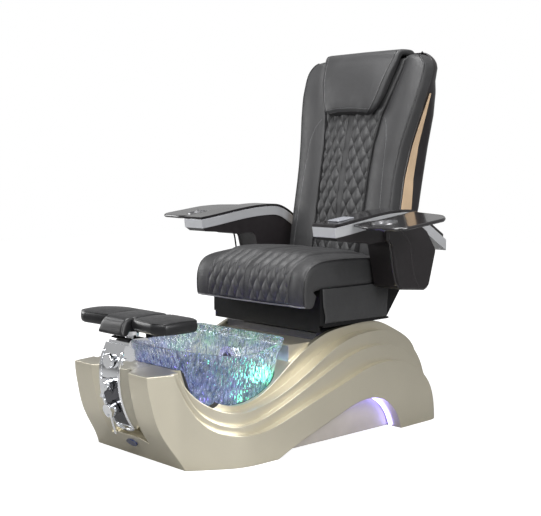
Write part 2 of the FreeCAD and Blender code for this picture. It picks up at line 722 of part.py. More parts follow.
def footrest_post():
    mast = rod(V(0, POST_Y, POST_FOOT), V(0, 0, 1), POST_R, HEAD_Z - 6 - POST_FOOT)
    collar = rod(V(0, POST_Y, COLUMN_TOP + 1), V(0, 0, 1), POST_R + 10, HEAD_Z - COLUMN_TOP - 1)
    spigot = rod(V(0, POST_Y, HEAD_Z), V(0, 0, 1), TURN_R, 11)
    return join(mast, collar, spigot)


def footrest_plate():
    plate = box(-REST_PLATE_HALF, REST_PLATE_HALF, 115, REST_PLATE_REAR, REST_Z - 5, REST_Z)
    hub = rod(V(0, POST_Y, HEAD_Z + GAP), V(0, 0, 1), 26, REST_Z - 5 - HEAD_Z)
    struts = [box(x - 4, x + 4, 140, REST_PLATE_REAR - 4, 424, REST_Z - 5) for x in (-96, 96)]
    ties = [box(-96, 96, y - 5, y + 5, 424, 434) for y in (200, REST_PLATE_REAR - 18)]
    plate = join(plate, hub, *struts, *ties)
    return plate.cut(rod(V(0, POST_Y, HEAD_Z - 1), V(0, 0, 1), TURN_R + RUN, 13))


def crowned(levels):
    """A loft through plan outlines, each a list of corners, radii and a height."""
    wires = [rounded(points, radii, lambda x, y, z=z: V(x, y, z)) for points, radii, z in levels]
    return Part.makeLoft(wires, True, False)


def footrest_side_pad():
    low = REST_CENTRE_HALF + GAP
    levels = []
    for z, draw in ((REST_Z + GAP, 5), (REST_Z + 14, 0), (REST_Z + 30, 1), (REST_Z + REST_T - 4, 6),
                    (REST_Z + REST_T, 15)):
        points = [(low, REST_FRONT + 22 + draw), (150, REST_FRONT + 2 + draw), (REST_HALF - 22, REST_FRONT + 14 + draw),
                  (REST_HALF - draw, REST_FRONT + 60), (REST_HALF - 8 - draw, REST_REAR - 48),
                  (REST_HALF - 60, REST_REAR - 8 - draw), (low, REST_REAR - draw)]
        levels.append((points, [14, 60, 30, 30, 36, 36, 6], z))
    return crowned(levels)


def footrest_centre():
    half = REST_CENTRE_HALF
    top = REST_Z + REST_T
    levels = []
    for z, draw in ((REST_Z + GAP, 3), (REST_Z + 30, 0), (top - 4, 4), (top - 1, 12)):
        points = [(-half, 96), (half, 96), (half, REST_REAR - draw), (-half, REST_REAR - draw)]
        levels.append((points, [2, 2, 6, 6], z))
    pad = crowned(levels)
    hood = []
    for z, front, wide in ((HOOD_BOTTOM, 58, half + 4), (HOOD_BOTTOM + 30, 70, half), (top - 8, 84, half - 6),
                           (top - 2, 98, half - 14)):
        points = [(-wide, front), (wide, front), (wide, 112), (-wide, 112)]
        hood.append((points, [14, 14, 3, 3], z))
    return pad.fuse(crowned(hood)).removeSplitter()


# Seat slide and seat frame

def slide_base():
    outer = box(-SLIDE_BASE_HALF, SLIDE_BASE_HALF, SLIDE_BASE_FRONT, SLIDE_BASE_REAR, DECK_Z, SLIDE_BASE_TOP)
    inner = box(-SLIDE_BASE_HALF + 3, SLIDE_BASE_HALF - 3, SLIDE_BASE_FRONT + 3, SLIDE_BASE_REAR - 3,
                DECK_Z - 1, SLIDE_BASE_TOP - 3)
    return outer.cut(inner)


def slide_rails():
    top = SLIDE_BASE_TOP + RAIL_H
    return both(box(RAIL_X - RAIL_W / 2, RAIL_X + RAIL_W / 2, RAIL_FRONT, RAIL_REAR, SLIDE_BASE_TOP, top))


def carriage_plate():
    plate = box(-SEAT_PLATE_X - SEAT_PLATE_T, SEAT_PLATE_X + SEAT_PLATE_T, 770, 1125, PLATE_Z, PLATE_Z + PLATE_T)
    rail_top = SLIDE_BASE_TOP + RAIL_H
    parts = [plate, box(-14, 14, 820, 832, SLIDE_BASE_TOP + 2, PLATE_Z)]
    for side_sign in (-1, 1):
        x = side_sign * RAIL_X
        block = box(x - 26, x + 26, BLOCK_Y - BLOCK_L / 2, BLOCK_Y + BLOCK_L / 2, SLIDE_BASE_TOP + 3, PLATE_Z)
        groove = box(x - RAIL_W / 2 - RUN, x + RAIL_W / 2 + RUN, 800, 1200, SLIDE_BASE_TOP, rail_top + RUN)
        parts.append(block.cut(groove))
    parts.append(box(-24, 24, MOTOR_FRONT - 14, MOTOR_FRONT, PLATE_Z + PLATE_T, ACTUATOR_Z + 14))
    return join(*parts)


def slide_rod():
    return rod(V(0, 832, SCREW_Z), V(0, 1, 0), SCREW_R, 186)


def slide_motor():
    barrel = rod(V(0, 925, SCREW_Z), V(0, 1, 0), 10, 200).cut(rod(V(0, 920, SCREW_Z), V(0, 1, 0), SCREW_R + RUN, 182))
    feet = [box(-12, 12, y, y + 30, SLIDE_BASE_TOP, SLIDE_BASE_TOP + 5) for y in (940, 1060)]
    gearbox = box(-30, 30, 1105, 1130, SLIDE_BASE_TOP, SLIDE_BASE_TOP + 22)
    return join(barrel, gearbox, *feet)


def seat_frame():
    plate_top = PLATE_Z + PLATE_T
    outline = [(PANEL_FRONT, plate_top), (1112, plate_top), (1192, 520), (1196, 590), (1166, 636),
               (SEAT_REAR + 4, 636), (SEAT_REAR + 4, SEAT_UNDER - GAP), (PANEL_FRONT, SEAT_UNDER - GAP)]
    plate = side_prism(outline, SEAT_PLATE_X, SEAT_PLATE_X + SEAT_PLATE_T)
    plate = plate.cut(rod(V(270, RECLINE_Y, RECLINE_Z), V(1, 0, 0), RECLINE_PIN_R, 40))
    plate = plate.cut(rod(V(270, ARM_PIVOT_Y, ARM_PIVOT_Z), V(1, 0, 0), ARM_PIVOT_R, 40))
    front = box(-SEAT_PLATE_X, SEAT_PLATE_X, PANEL_FRONT, PANEL_FRONT + 6, PANEL_BOTTOM, SEAT_UNDER - GAP)
    pan = box(-SEAT_PLATE_X, SEAT_PLATE_X, PANEL_FRONT + 6, 1110, SEAT_UNDER - GAP - 5, SEAT_UNDER - GAP)
    return join(plate, mirrored(plate), front, pan)


def seat_skirt():
    x = SEAT_PLATE_X + SEAT_PLATE_T
    outline = [(768, SKIRT_BOTTOM + 6), (1108, SKIRT_BOTTOM), (1120, SEAT_UNDER - 1), (762, SEAT_UNDER - 1)]
    return both(side_prism(outline, x, x + SKIRT_T))


def pivot_pins():
    recline = rod(V(266, RECLINE_Y, RECLINE_Z), V(1, 0, 0), RECLINE_PIN_R, 30)
    recline = recline.fuse(rod(V(293, RECLINE_Y, RECLINE_Z), V(1, 0, 0), 12, 4)).removeSplitter()
    arm = rod(V(280, ARM_PIVOT_Y, ARM_PIVOT_Z), V(1, 0, 0), ARM_PIVOT_R, 68)
    return Part.makeCompound([recline, mirrored(recline), arm, mirrored(arm)])


def facet(points):
    return Part.Face(Part.makePolygon(list(points) + [points[0]]))


def closed(faces):
    """A solid from flat faces that meet edge to edge."""
    solid = Part.Solid(Part.Shell(faces))
    if solid.Volume < 0:
        solid.reverse()
    return solid


def quilted(rows, high):
    """The facets of a padded grid of points, each cell folded along the seam between its low corners."""
    faces = []
    for j in range(len(rows) - 1):
        for i in range(len(rows[j]) - 1):
            a, b, c, d = rows[j][i], rows[j][i + 1], rows[j + 1][i + 1], rows[j + 1][i]
            if high(i, j) or high(i + 1, j + 1):
                faces += [facet([a, b, d]), facet([b, c, d])]
            else:
                faces += [facet([a, b, c]), facet([a, c, d])]
    return faces


def seat_columns():
    """Widths where the seat's seams run: the centre strip, the diamonds, then the plain bolster."""
    quilt = [STRIP_HALF + SEAT_PITCH / 2 * i for i in range(SEAT_DIAMONDS * 2 + 2)]
    edge = quilt[-1]
    bolster = [edge + 20, edge + 42, SEAT_HALF - 18, SEAT_HALF - 6, SEAT_HALF]
    right = quilt + bolster
    return [-x for x in right[::-1]] + right, len(bolster), len(quilt)


def seat_cushion():
    """The seat: crowned, drawn in at its sides, with diamonds in front and channels over the top."""
    path = spline(side(SEAT_PROFILE[::-1]))
    xs, bolster, quilt = seat_columns()
    count = int(path.Length // (DIAMOND_H / 2))
    rise = DIAMOND_H / 2

    def seam_index(i):
        k = i - bolster if i < bolster + quilt else i - bolster - quilt
        k = quilt - 1 - k if i < bolster + quilt else k
        return k if 0 <= k < quilt else None

    def high(i, j):
        k = seam_index(i)
        if k in (None, 0, quilt - 1) or j in (0, count):
            return False
        if j <= 4 or j >= count - 3:
            return (k + j) % 2 == 1
        return k % 2 == 1

    def lift(i, j):
        x = abs(xs[i])
        if j in (0, count):
            return 0.0
        if x > xs[-1] - 1:
            return -13.0
        if x > SEAT_HALF - 7:
            return -4.0
        if seam_index(i) is None:
            return 5.0 if x < SEAT_HALF - 19 else 2.0
        crown = CROWN * (1 - (x / SEAT_HALF) ** 2)
        return crown + (PUFF if high(i, j) else 0.0)

    rows = []
    for j in range(count + 1):
        at = path.getParameterByLength(min(j * rise, path.Length) if j < count else path.Length)
        p, t = path.valueAt(at), path.tangentAt(at)
        row = []
        for i, x in enumerate(xs):
            up = lift(i, j)
            row.append(V(x, p.y - t.z * up, p.z + t.y * up))
        rows.append(row)
    under = [(712, 491), (724, 505), (738, 529), (756, SEAT_UNDER), (SEAT_REAR, SEAT_UNDER)]
    low, far = [side(under, x) for x in (-SEAT_HALF, SEAT_HALF)]
    faces = quilted(rows, high)
    faces.append(facet(rows[0] + [far[0], low[0]]))
    faces.append(facet(rows[-1] + [far[-1], low[-1]]))
    for k in range(len(under) - 1):
        faces.append(facet([low[k], far[k], far[k + 1], low[k + 1]]))
    faces.append(facet([row[0] for row in rows] + low[::-1]))
    faces.append(facet([row[-1] for row in rows] + far[::-1]))
    return closed(faces)


# Back

def seam_y(z):
    return between(z, BACK_Z, BACK_Y)


def outer_half(z):
    return between(z, BACK_Z, BACK_OUTER)


def inner_half(z):
    return between(z, BACK_Z, BACK_INNER)


def back_section(z, x0, x1, d0, d1, radius, crown):
    """A level section of a back cushion between two widths and two depths behind the seam line."""
    y0, y1 = seam_y(z) + d0, seam_y(z) + d1
    r = radius
    q = r * (1 - math.sqrt(0.5))
    a, b = V(x1, y0 + r, z), V(x1, y1 - r, z)
    c, d = V(x1 - r, y1, z), V(x0 + r, y1, z)
    e, f = V(x0, y1 - r, z), V(x0, y0 + r, z)
    g, h = V(x0 + r, y0, z), V(x1 - r, y0, z)
    return Part.Wire([
        Part.makeLine(a, b), Part.Arc(b, V(x1 - q, y1 - q, z), c).toShape(), Part.makeLine(c, d),
        Part.Arc(d, V(x0 + q, y1 - q, z), e).toShape(), Part.makeLine(e, f),
        Part.Arc(f, V(x0 + q, y0 + q, z), g).toShape(),
        Part.Arc(g, V((x0 + x1) / 2, y0 - crown, z), h).toShape(),
        Part.Arc(h, V(x1 - q, y0 + q, z), a).toShape(),
    ])


def back_loft(heights, low, high, d0, d1, radius, crown, ends=6):
    """A back cushion through its level sections, drawn in over the last few millimetres of each end."""
    wires = []
    last = len(heights) - 1
    for i, z in enumerate(heights):
        if i in (0, last):
            wires.append(back_section(z, low(z) + ends, high(z) - ends, d0 + ends, d1 - ends, radius, crown / 2))
        else:
            wires.append(back_section(z, low(z), high(z), d0, d1, radius, crown))
    return Part.makeLoft(wires, True, True)


def wing():
    heights = [602, 612, 702, 760, 820, 937, 1000, 1062, 1120, 1181, 1271, 1320, 1366, 1396, 1410]
    return back_loft(heights, inner_half, outer_half, 0.0, GUSSET, 14, 9)


def back_columns(z):
    """Widths where the back's seams run at a height: the centre strip and four half diamonds a side."""
    step = (inner_half(z) - SEAM_GAP - 2 - STRIP_HALF) / (2 * BACK_DIAMONDS)
    right = [STRIP_HALF + step * i for i in range(2 * BACK_DIAMONDS + 1)]
    return [-x for x in right[::-1]] + right


def back_cushion():
    """The centre of the back: diamonds beside a plain strip, and a plain top behind the pillow."""
    start = LUMBAR_TOP + 12
    rows_z = [LUMBAR_TOP + GAP] + [start + BACK_DIAMOND_H / 2 * j for j in range(BACK_ROWS + 1)]
    rows_z += [1300, 1366, 1396, 1408]
    half_count = 2 * BACK_DIAMONDS + 1

    def high(i, j):
        k = half_count - 1 - i if i < half_count else i - half_count
        return 0 < k < half_count - 1 and 1 < j < BACK_ROWS + 1 and (k + j) % 2 == 1

    rows, rear = [], []
    for j, z in enumerate(rows_z):
        end = j in (0, len(rows_z) - 1)
        row = []
        for i, x in enumerate(back_columns(z)):
            crown = 5.0 * (1 - (x / inner_half(z)) ** 2)
            depth = 10.0 if end else 4.0 - crown - (BACK_PUFF if high(i, j) else 0.0)
            row.append(V(x, seam_y(z) + depth, z))
        rows.append(row)
        rear.append((V(row[0].x, seam_y(z) + GUSSET, z), V(row[-1].x, seam_y(z) + GUSSET, z)))
    faces = quilted(rows, high)
    faces.append(facet(rows[0] + [rear[0][1], rear[0][0]]))
    faces.append(facet(rows[-1] + [rear[-1][1], rear[-1][0]]))
    for j in range(len(rows) - 1):
        (a, b), (c, d) = rear[j], rear[j + 1]
        faces.append(facet([a, b, d, c]))
        faces.append(facet([rows[j][0], a, c, rows[j + 1][0]]))
        faces.append(facet([rows[j][-1], b, d, rows[j + 1][-1]]))
    return closed(faces)


def lumbar_pad():
    heights = [606, 616, 650, LUMBAR_TOP - 12, LUMBAR_TOP - GAP]
    return back_loft(heights, lambda z: SEAM_GAP - inner_half(z), lambda z: inner_half(z) - SEAM_GAP,
                     -2.0, GUSSET, 10, 7)


def head_pillow():
    y_low, y_top = seam_y(PILLOW_BOTTOM), seam_y(1400)
    seat = 1.5  # the pillow lies this far ahead of the seam line, just clear of the back's crown
    outline = [(y_low - seat, PILLOW_BOTTOM), (y_low - 34, PILLOW_BOTTOM + 4), (seam_y(1300) - 46, 1300),
               (y_top - 40, 1400), (y_top - 26, 1432), (y_top, PILLOW_TOP), (y_top + 50, PILLOW_TOP - 2),
               (y_top + 66, 1430), (y_top + 66, 1413), (seam_y(1413) - seat, 1413), (seam_y(1300) - seat, 1300)]
    body = side_prism(outline, -230, 230)
    front = [(-112, PILLOW_BOTTOM - 1), (112, PILLOW_BOTTOM - 1), (146, 1262), (196, 1400), (204, PILLOW_TOP + 1),
             (-204, PILLOW_TOP + 1), (-196, 1400), (-146, 1262)]
    face = rounded(front, [30, 30, 40, 40, 18, 18, 40, 40], lambda x, z: V(x, 1100, z))
    body = body.common(prism(face, V(0, 400, 0)))
    return max(body.Solids, key=lambda solid: solid.Volume)


def shell_half(z):
    return outer_half(z) - 10


def back_shell():
    heights = [SHELL_FOOT, 700, 820, 937, 1062, 1181, 1271, 1366, 1424]
    outer, inner = [], []
    for z in heights:
        deep = SHELL_DEPTH - 55 * max(0.0, (z - 1271) / 153) ** 2
        outer.append(back_section(z, -shell_half(z), shell_half(z), GUSSET + GAP, deep, 30, -0.01))
        half = shell_half(z) - SHELL_WALL
        inner.append(back_section(z, -half, half, GUSSET - 60, deep - SHELL_WALL, 25, -0.01))
    outer_solid = Part.makeLoft(outer, True, True)
    front_gap = box(-400, 400, 1000, 1600, 1419, 1500)
    inner_solid = Part.makeLoft(inner, True, True).cut(front_gap)
    shell = outer_solid.cut(inner_solid)
    return max(shell.Solids, key=lambda solid: solid.Volume)


def side_panels():
    heights = [720, 820, 937, 1062, 1181, 1271, 1340]
    wires = []
    for i, z in enumerate(heights):
        x = shell_half(z) + GAP
        taper = 10 if i in (0, len(heights) - 1) else 0
        wires.append(Part.makePolygon([V(x, seam_y(z) + 78 + taper, z), V(x + 5, seam_y(z) + 80 + taper, z),
                                       V(x + 5, seam_y(z) + 138 - taper, z), V(x, seam_y(z) + 140 - taper, z),
                                       V(x, seam_y(z) + 78 + taper, z)]))
    return both(Part.makeLoft(wires, True, True))


def lean(shape):
    """A shape built upright from the massage rods' foot, leant back along them."""
    placed = shape.copy()
    placed.rotate(V(0, 0, 0), V(1, 0, 0), -LEAN)
    placed.translate(V(0, ROD_FOOT_Y, ROD_FOOT_Z))
    return placed


def back_frame():
    uprights = []
    for sign in (-1, 1):
        wires = []
        for z in (610, 820, 1062, 1271, 1372):
            x0, x1 = 205, 230
            y0 = seam_y(z) + GUSSET + 6
            corners = [V(sign * x0, y0, z), V(sign * x1, y0, z), V(sign * x1, y0 + 25, z), V(sign * x0, y0 + 25, z)]
            wires.append(Part.makePolygon(corners + corners[:1]))
        uprights.append(Part.makeLoft(wires, True, True))
    beam_top = SHELL_FOOT - GAP
    y_low = seam_y(beam_top) + GUSSET + GAP
    beam = box(-LUG_OUT, LUG_OUT, y_low, y_low + 30, 604, beam_top)
    lug = side_prism([(1150, 545), (1164, 538), (1182, 545), (1214, 590), (y_low + 30, 604),
                      (y_low + 30, beam_top), (y_low, beam_top), (1147, 580)], LUG_IN, LUG_OUT)
    lug = lug.cut(rod(V(250, RECLINE_Y, RECLINE_Z), V(1, 0, 0), RECLINE_PIN_R + RUN, 60))
    lever = side_prism([(y_low, 636), (y_low, 600), (EYE_Y - 15, EYE_Z + 4), (EYE_Y - 11, EYE_Z - 11),
                        (EYE_Y + 11, EYE_Z - 11), (EYE_Y + 15, EYE_Z + 4), (y_low + 30, 604), (y_low + 30, 636)], -5, 5)
    lever = lever.cut(rod(V(-10, EYE_Y, EYE_Z), V(1, 0, 0), EYE_R, 20))
    ends = []
    for low, high in ((-14, 8), (ROD_L - 8, ROD_L + 14)):
        bar = box(-230, 230, -46, 12, low, high)
        ends.append(lean(bar))
    rods = [lean(rod(V(x, 0, 0), V(0, 0, 1), ROD_R, ROD_L)) for x in (-ROD_X, ROD_X)]
    return join(*uprights, beam, lug, mirrored(lug), lever, *ends, *rods)


def massage_carriage():
    body = box(-88, 88, -12, 22, CARRIAGE_LOW, CARRIAGE_LOW + 90)
    arms = [box(x - 3, x + 3, ROLLER_DEPTH - 8, -10, CARRIAGE_LOW + 30, CARRIAGE_LOW + 60) for x in (-80, 80)]
    motor = rod(V(0, 20, CARRIAGE_LOW + 45), V(0, 1, 0), 26, 20)
    carriage = join(body, *arms, motor)
    for x in (-ROD_X, ROD_X):
        carriage = carriage.cut(rod(V(x, 0, CARRIAGE_LOW - 1), V(0, 0, 1), ROD_R + RUN, 92))
    axle = rod(V(-85, ROLLER_DEPTH, CARRIAGE_LOW + 45), V(1, 0, 0), 5 + RUN, 170)
    return lean(carriage.cut(axle))


def massage_rollers():
    axle = rod(V(-83, ROLLER_DEPTH, CARRIAGE_LOW + 45), V(1, 0, 0), 5, 166)
    wheels = []
    for x in (-62, 30):
        wheel = rod(V(x, ROLLER_DEPTH, CARRIAGE_LOW + 45), V(1, 0, 0), ROLLER_R, 32)
        wheels.append(soften(wheel, 8, lambda e: e.Length > 2 * ROLLER_R))
    return lean(join(axle, *wheels))


def recline_motor():
    barrel = rod(V(0, MOTOR_FRONT, ACTUATOR_Z), V(0, 1, 0), 19, MOTOR_L)
    gearbox = box(-24, 60, MOTOR_FRONT, MOTOR_FRONT + 44, ACTUATOR_Z - 22, ACTUATOR_Z + 22)
    bore = rod(V(0, MOTOR_FRONT + 10, ACTUATOR_Z), V(0, 1, 0), 8 + RUN, MOTOR_L)
    return join(barrel, gearbox).cut(bore)


def recline_rod():
    shaft = rod(V(0, EYE_Y - 255, ACTUATOR_Z), V(0, 1, 0), 8, 225)
    yoke = box(-13, 13, EYE_Y - 31, EYE_Y + 8, ACTUATOR_Z - 8, ACTUATOR_Z + 8)
    yoke = yoke.cut(box(-6, 6, EYE_Y - 20, EYE_Y + 20, ACTUATOR_Z - 20, ACTUATOR_Z + 20))
    pin = rod(V(-13, EYE_Y, ACTUATOR_Z), V(1, 0, 0), 4, 26)
    return join(shaft, yoke, pin)


# Arms and trays

def strip_outline(offset_low, offset_high, tail_y, x):
    """A strip that follows the arm's top line between two offsets, with its straight tail cut square."""
    low = inward(BAND_TOP, -offset_low)
    high = inward(BAND_TOP, -offset_high)
    slope = (BAND_TAIL[1] - BAND_TOP[-1][1]) / (BAND_TAIL[0] - BAND_TOP[-1][0])
    low_tail = (tail_y, low[-1][1] + slope * (tail_y - low[-1][0]))
    high_tail = (tail_y, high[-1][1] + slope * (tail_y - high[-1][0]))
    return wire(side(low, x), side([low[-1], low_tail], x), side([low_tail, high_tail], x),
                side([high_tail, high[-1]], x), side(high[::-1], x), side([high[0], low[0]], x))


def arm_strip(offset_low, offset_high, tail_y, edge_in, edge_out):
    return prism(strip_outline(offset_low, offset_high, tail_y, edge_in), V(edge_out - edge_in, 0, 0))


def arm_band():
    return arm_strip(-BAND_H, 0.0, BAND_TAIL[0], ARM_IN, ARM_OUT)


def arm_pad():
    return arm_strip(GAP, PAD_T, BAND_TAIL[0] - 18, ARM_IN + 1, ARM_OUT - 1)


def arm_shell():
    low = inward(BAND_TOP, BAND_H + GAP)
    beam = wire(side(low), side([low[-1], (1176, 620)]), side([(1176, 620), (1040, 640)]),
                side([(1040, 640), (1004, 700)]), side([(1004, 700), (980, 713), (955, 716), (860, 719)]),
                side([(860, 719), (728, 729)]), side([(728, 729), low[0]]))
    beam = prism(beam, V(ARM_OUT - ARM_IN - 8, 0, 0))
    beam.translate(V(ARM_IN + 2, 0, 0))
    radii = [30, 30, 60, 20, 14, 14, 30, 20, 10, 6]
    pod = rounded(POD, radii, lambda y, z: V(ARM_IN + 2, y, z))
    pod = prism(pod, V(POD_OUT - ARM_IN - 12, 0, 0))
    outer = rounded(POD, radii, lambda y, z: V(POD_OUT - 10, y, z))
    near = [(1100 + (y - 1100) * 0.93, 640 + (z - 640) * 0.93) for y, z in POD]
    face = rounded(near, radii, lambda y, z: V(POD_OUT, y, z))
    cap = Part.makeLoft([outer, face], True, True)
    above = arm_strip(-BAND_H - GAP, 60, BAND_TAIL[0], 200, 600)
    shell = join(beam, pod.cut(above), cap.cut(above))
    shell = max(shell.Solids, key=lambda solid: solid.Volume)
    return shell.cut(rod(V(250, ARM_PIVOT_Y, ARM_PIVOT_Z), V(1, 0, 0), ARM_PIVOT_R + RUN, 100))


def arm_keypad():
    plate = box(-28, 28, 0, 84, 0, 3)
    plate = soften(plate, 8, lambda e: abs(e.Length - 3) < 0.01)
    plate.rotate(V(0, 0, 0), V(1, 0, 0), KEYPAD_SLOPE)
    y = BAND_TOP[0][0] + 52
    plate.translate(V((ARM_IN + ARM_OUT) / 2 - 6, y, between(y, [p[0] for p in BAND_TOP], [p[1] for p in BAND_TOP])
                      + PAD_T + 0.8))
    return plate


def tray_place(shape):
    """A shape built level in the tray's own frame, tilted with the arm and set at its height."""
    placed = shape.copy()
    placed.rotate(V(0, TRAY_Y0, 0), V(1, 0, 0), TRAY_SLOPE)
    placed.translate(V(0, 0, TRAY_Z0))
    return placed


def tray():
    outline = rounded(TRAY_OUTLINE, TRAY_CORNERS, lambda x, y: V(x, y, -TRAY_T))
    plate = prism(outline, V(0, 0, TRAY_T))
    plate = plate.cut(rod(V(CUP_X, CUP_Y, -TRAY_T - 1), V(0, 0, 1), CUP_R, TRAY_T + 2))
    knuckle = rod(V(HINGE_X, KNUCKLE_Y, HINGE_DROP), V(0, 1, 0), HINGE_R, KNUCKLE_L)
    web = box(HINGE_X - 2, HINGE_X + HINGE_R, KNUCKLE_Y, KNUCKLE_Y + KNUCKLE_L, HINGE_DROP, -TRAY_T)
    plate = join(plate, knuckle, web)
    plate = plate.cut(rod(V(HINGE_X, KNUCKLE_Y - 40, HINGE_DROP), V(0, 1, 0), HINGE_PIN_R + RUN, KNUCKLE_L + 80))
    return tray_place(plate)


def tray_hinge():
    parts = [rod(V(HINGE_X, KNUCKLE_Y - LEAF_L, HINGE_DROP), V(0, 1, 0), HINGE_PIN_R, KNUCKLE_L + 2 * LEAF_L)]
    for y in (KNUCKLE_Y - 1 - LEAF_L, KNUCKLE_Y + KNUCKLE_L + 1):
        leaf = box(ARM_OUT, HINGE_X, y, y + LEAF_L, HINGE_DROP - 2 * HINGE_R, HINGE_DROP - 4)
        parts.append(join(leaf, rod(V(HINGE_X, y, HINGE_DROP), V(0, 1, 0), HINGE_R, LEAF_L)))
    return tray_place(join(*parts))


def cup_holder():
    flange = rod(V(CUP_X, CUP_Y, 0), V(0, 0, 1), CUP_R + CUP_RING, 2)
    cup = rod(V(CUP_X, CUP_Y, -CUP_DEPTH), V(0, 0, 1), CUP_R - GAP, CUP_DEPTH)
    cup = join(flange, cup).cut(rod(V(CUP_X, CUP_Y, -CUP_DEPTH + 2), V(0, 0, 1), CUP_R - 3, CUP_DEPTH + 4))
    return tray_place(cup)


os.makedirs("parts", exist_ok=True)

base_outer, base_inner = base_half(0.0), base_half(BASE_WALL)
glass = foot_bowl()
mixer_cap, mixer_lever = mixer_parts()

pieces = {
    "base_shell": base_shell(base_outer, base_inner),
    "floor_frame": floor_frame(),
    "levelling_feet": levelling_feet(),
    "arch_panels": arch_panels(),
    "arch_lights": arch_lights(),
    "foot_bowl": glass,
    "bowl_gasket": bowl_gasket(base_outer, base_inner),
    "jet_housing": jet_housing(glass),
    "jet_impeller": jet_impeller(),
    "drain_flange": drain_flange(),
    "drain_plug": drain_plug(),
    "bowl_light": wall_fitting(LIGHT_X, LIGHT_Z, LIGHT_R, LIGHT_R / 2, 8, 22, 10, glass),
    "drain_pump": drain_pump(),
    "water_lines": water_lines(),
    "faucet_column": faucet_column(),
    "column_face": column_face(),
    "valve_body": valve_body(),
    "diverter_handle": diverter_handle(),
    "mixer_cap": mixer_cap,
    "mixer_lever": mixer_lever,
    "spray_head": spray_head(),
    "front_medallion": front_medallion(base_outer),
    "footrest_post": footrest_post(),
    "footrest_plate": footrest_plate(),
    "footrest_centre": footrest_centre(),
    "footrest_side_pads": both(footrest_side_pad()),
    "slide_base": slide_base(),
    "slide_rails": slide_rails(),
    "slide_motor": slide_motor(),
    "slide_rod": slide_rod(),
    "carriage_plate": carriage_plate(),
    "seat_frame": seat_frame(),
    "seat_cushion": seat_cushion(),
    "seat_skirt": seat_skirt(),
    "pivot_pins": pivot_pins(),
    "recline_motor": recline_motor(),
    "recline_rod": recline_rod(),
    "back_frame": back_frame(),
    "back_shell": back_shell(),
    "side_panels": side_panels(),
    "back_cushion": back_cushion(),
    "lumbar_pad": lumbar_pad(),
    "head_pillow": head_pillow(),
    "massage_carriage": massage_carriage(),
    "massage_rollers": massage_rollers(),
    "arm_keypad": arm_keypad(),
}
for kind, make in (("wing", wing), ("arm_shell", arm_shell), ("arm_band", arm_band), ("arm_pad", arm_pad),
                   ("tray", tray), ("tray_hinge", tray_hinge), ("cup_holder", cup_holder)):
    pieces[f"{kind}_left"] = make()
    pieces[f"{kind}_right"] = mirrored(pieces[f"{kind}_left"])

for name, piece in pieces.items():
    export(name, piece)
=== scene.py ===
"""Looks of a pedicure spa chair: upholstery, paint, chrome, glass and lights over the fixed frame.

Lengths are millimetres from the chair's front datum, with +X to the sitter's left, +Y to the back
and +Z up. The helpers turn them into the frame's metres.
"""

import math

import bmesh
import bpy
import numpy as np
from mathutils import Matrix, Vector


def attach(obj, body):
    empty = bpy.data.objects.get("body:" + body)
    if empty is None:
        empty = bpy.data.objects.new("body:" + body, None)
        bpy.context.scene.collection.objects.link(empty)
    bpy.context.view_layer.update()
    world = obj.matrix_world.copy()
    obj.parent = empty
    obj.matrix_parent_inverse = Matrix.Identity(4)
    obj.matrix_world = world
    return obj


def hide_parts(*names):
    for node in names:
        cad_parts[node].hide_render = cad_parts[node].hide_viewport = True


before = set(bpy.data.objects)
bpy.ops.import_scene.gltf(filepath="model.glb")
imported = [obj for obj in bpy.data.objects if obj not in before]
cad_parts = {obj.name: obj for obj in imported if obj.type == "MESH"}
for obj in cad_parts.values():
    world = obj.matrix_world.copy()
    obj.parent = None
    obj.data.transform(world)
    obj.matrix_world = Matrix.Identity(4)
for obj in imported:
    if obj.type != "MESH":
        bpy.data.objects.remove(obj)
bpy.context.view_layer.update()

MIDDLE = 745.0  # from the front datum to the frame's origin
MM = 0.001

# Camera
CAMERA_AT = (2946.3, -1959.6, 1008.1)
CAMERA_TURN, CAMERA_DROP = 47.0, 5.2  # degrees
LENS, SENSOR = 71.83, 36.0
ROOM_LIGHT, ROOM_SHINE = 0.24, 0.42  # strength of the white room around, in matt and in glossy surfaces
FLOOR_HALF, FLOOR_DROP = 9000.0, 0.4

# Seat: its top and its underside in profile, as (y, z)
SEAT_HALF = 299.0
SEAT_TOP = [(671, 494), (667, 535), (669, 575), (680, 610), (702, 634), (739, 648), (790, 655), (880, 657),
            (1000, 652), (1106, 642)]
SEAT_UNDER = [(712, 491), (724, 505), (738, 529), (756, 552), (1106, 552)]
SEAT_CROWN = 7.0
BOLSTER_X, BOLSTER_REACH, BOLSTER_RISE = 258.0, 26.0, 4.0  # the fuller strips along both sides
SEAT_BORDER_X = 284.0  # the line where the cover is pulled in beside its piping

# Quilting
STRIP_HALF = 16.0  # punched strip down the middle
HOLE_STEP = 5.6
PITCH, DIAMOND_H = 45.0, 88.0  # the seat's diamonds, across and along
BACK_PITCH, BACK_DIAMOND_H = 47.0, 82.0
CENTRE_QUILTING, LUMBAR_QUILTING = (700, 11.0, 1215, 15), (618, 10.0, 716, 8)  # start, depth, end and fade
QUILT_EDGE = STRIP_HALF + 4.5 * PITCH

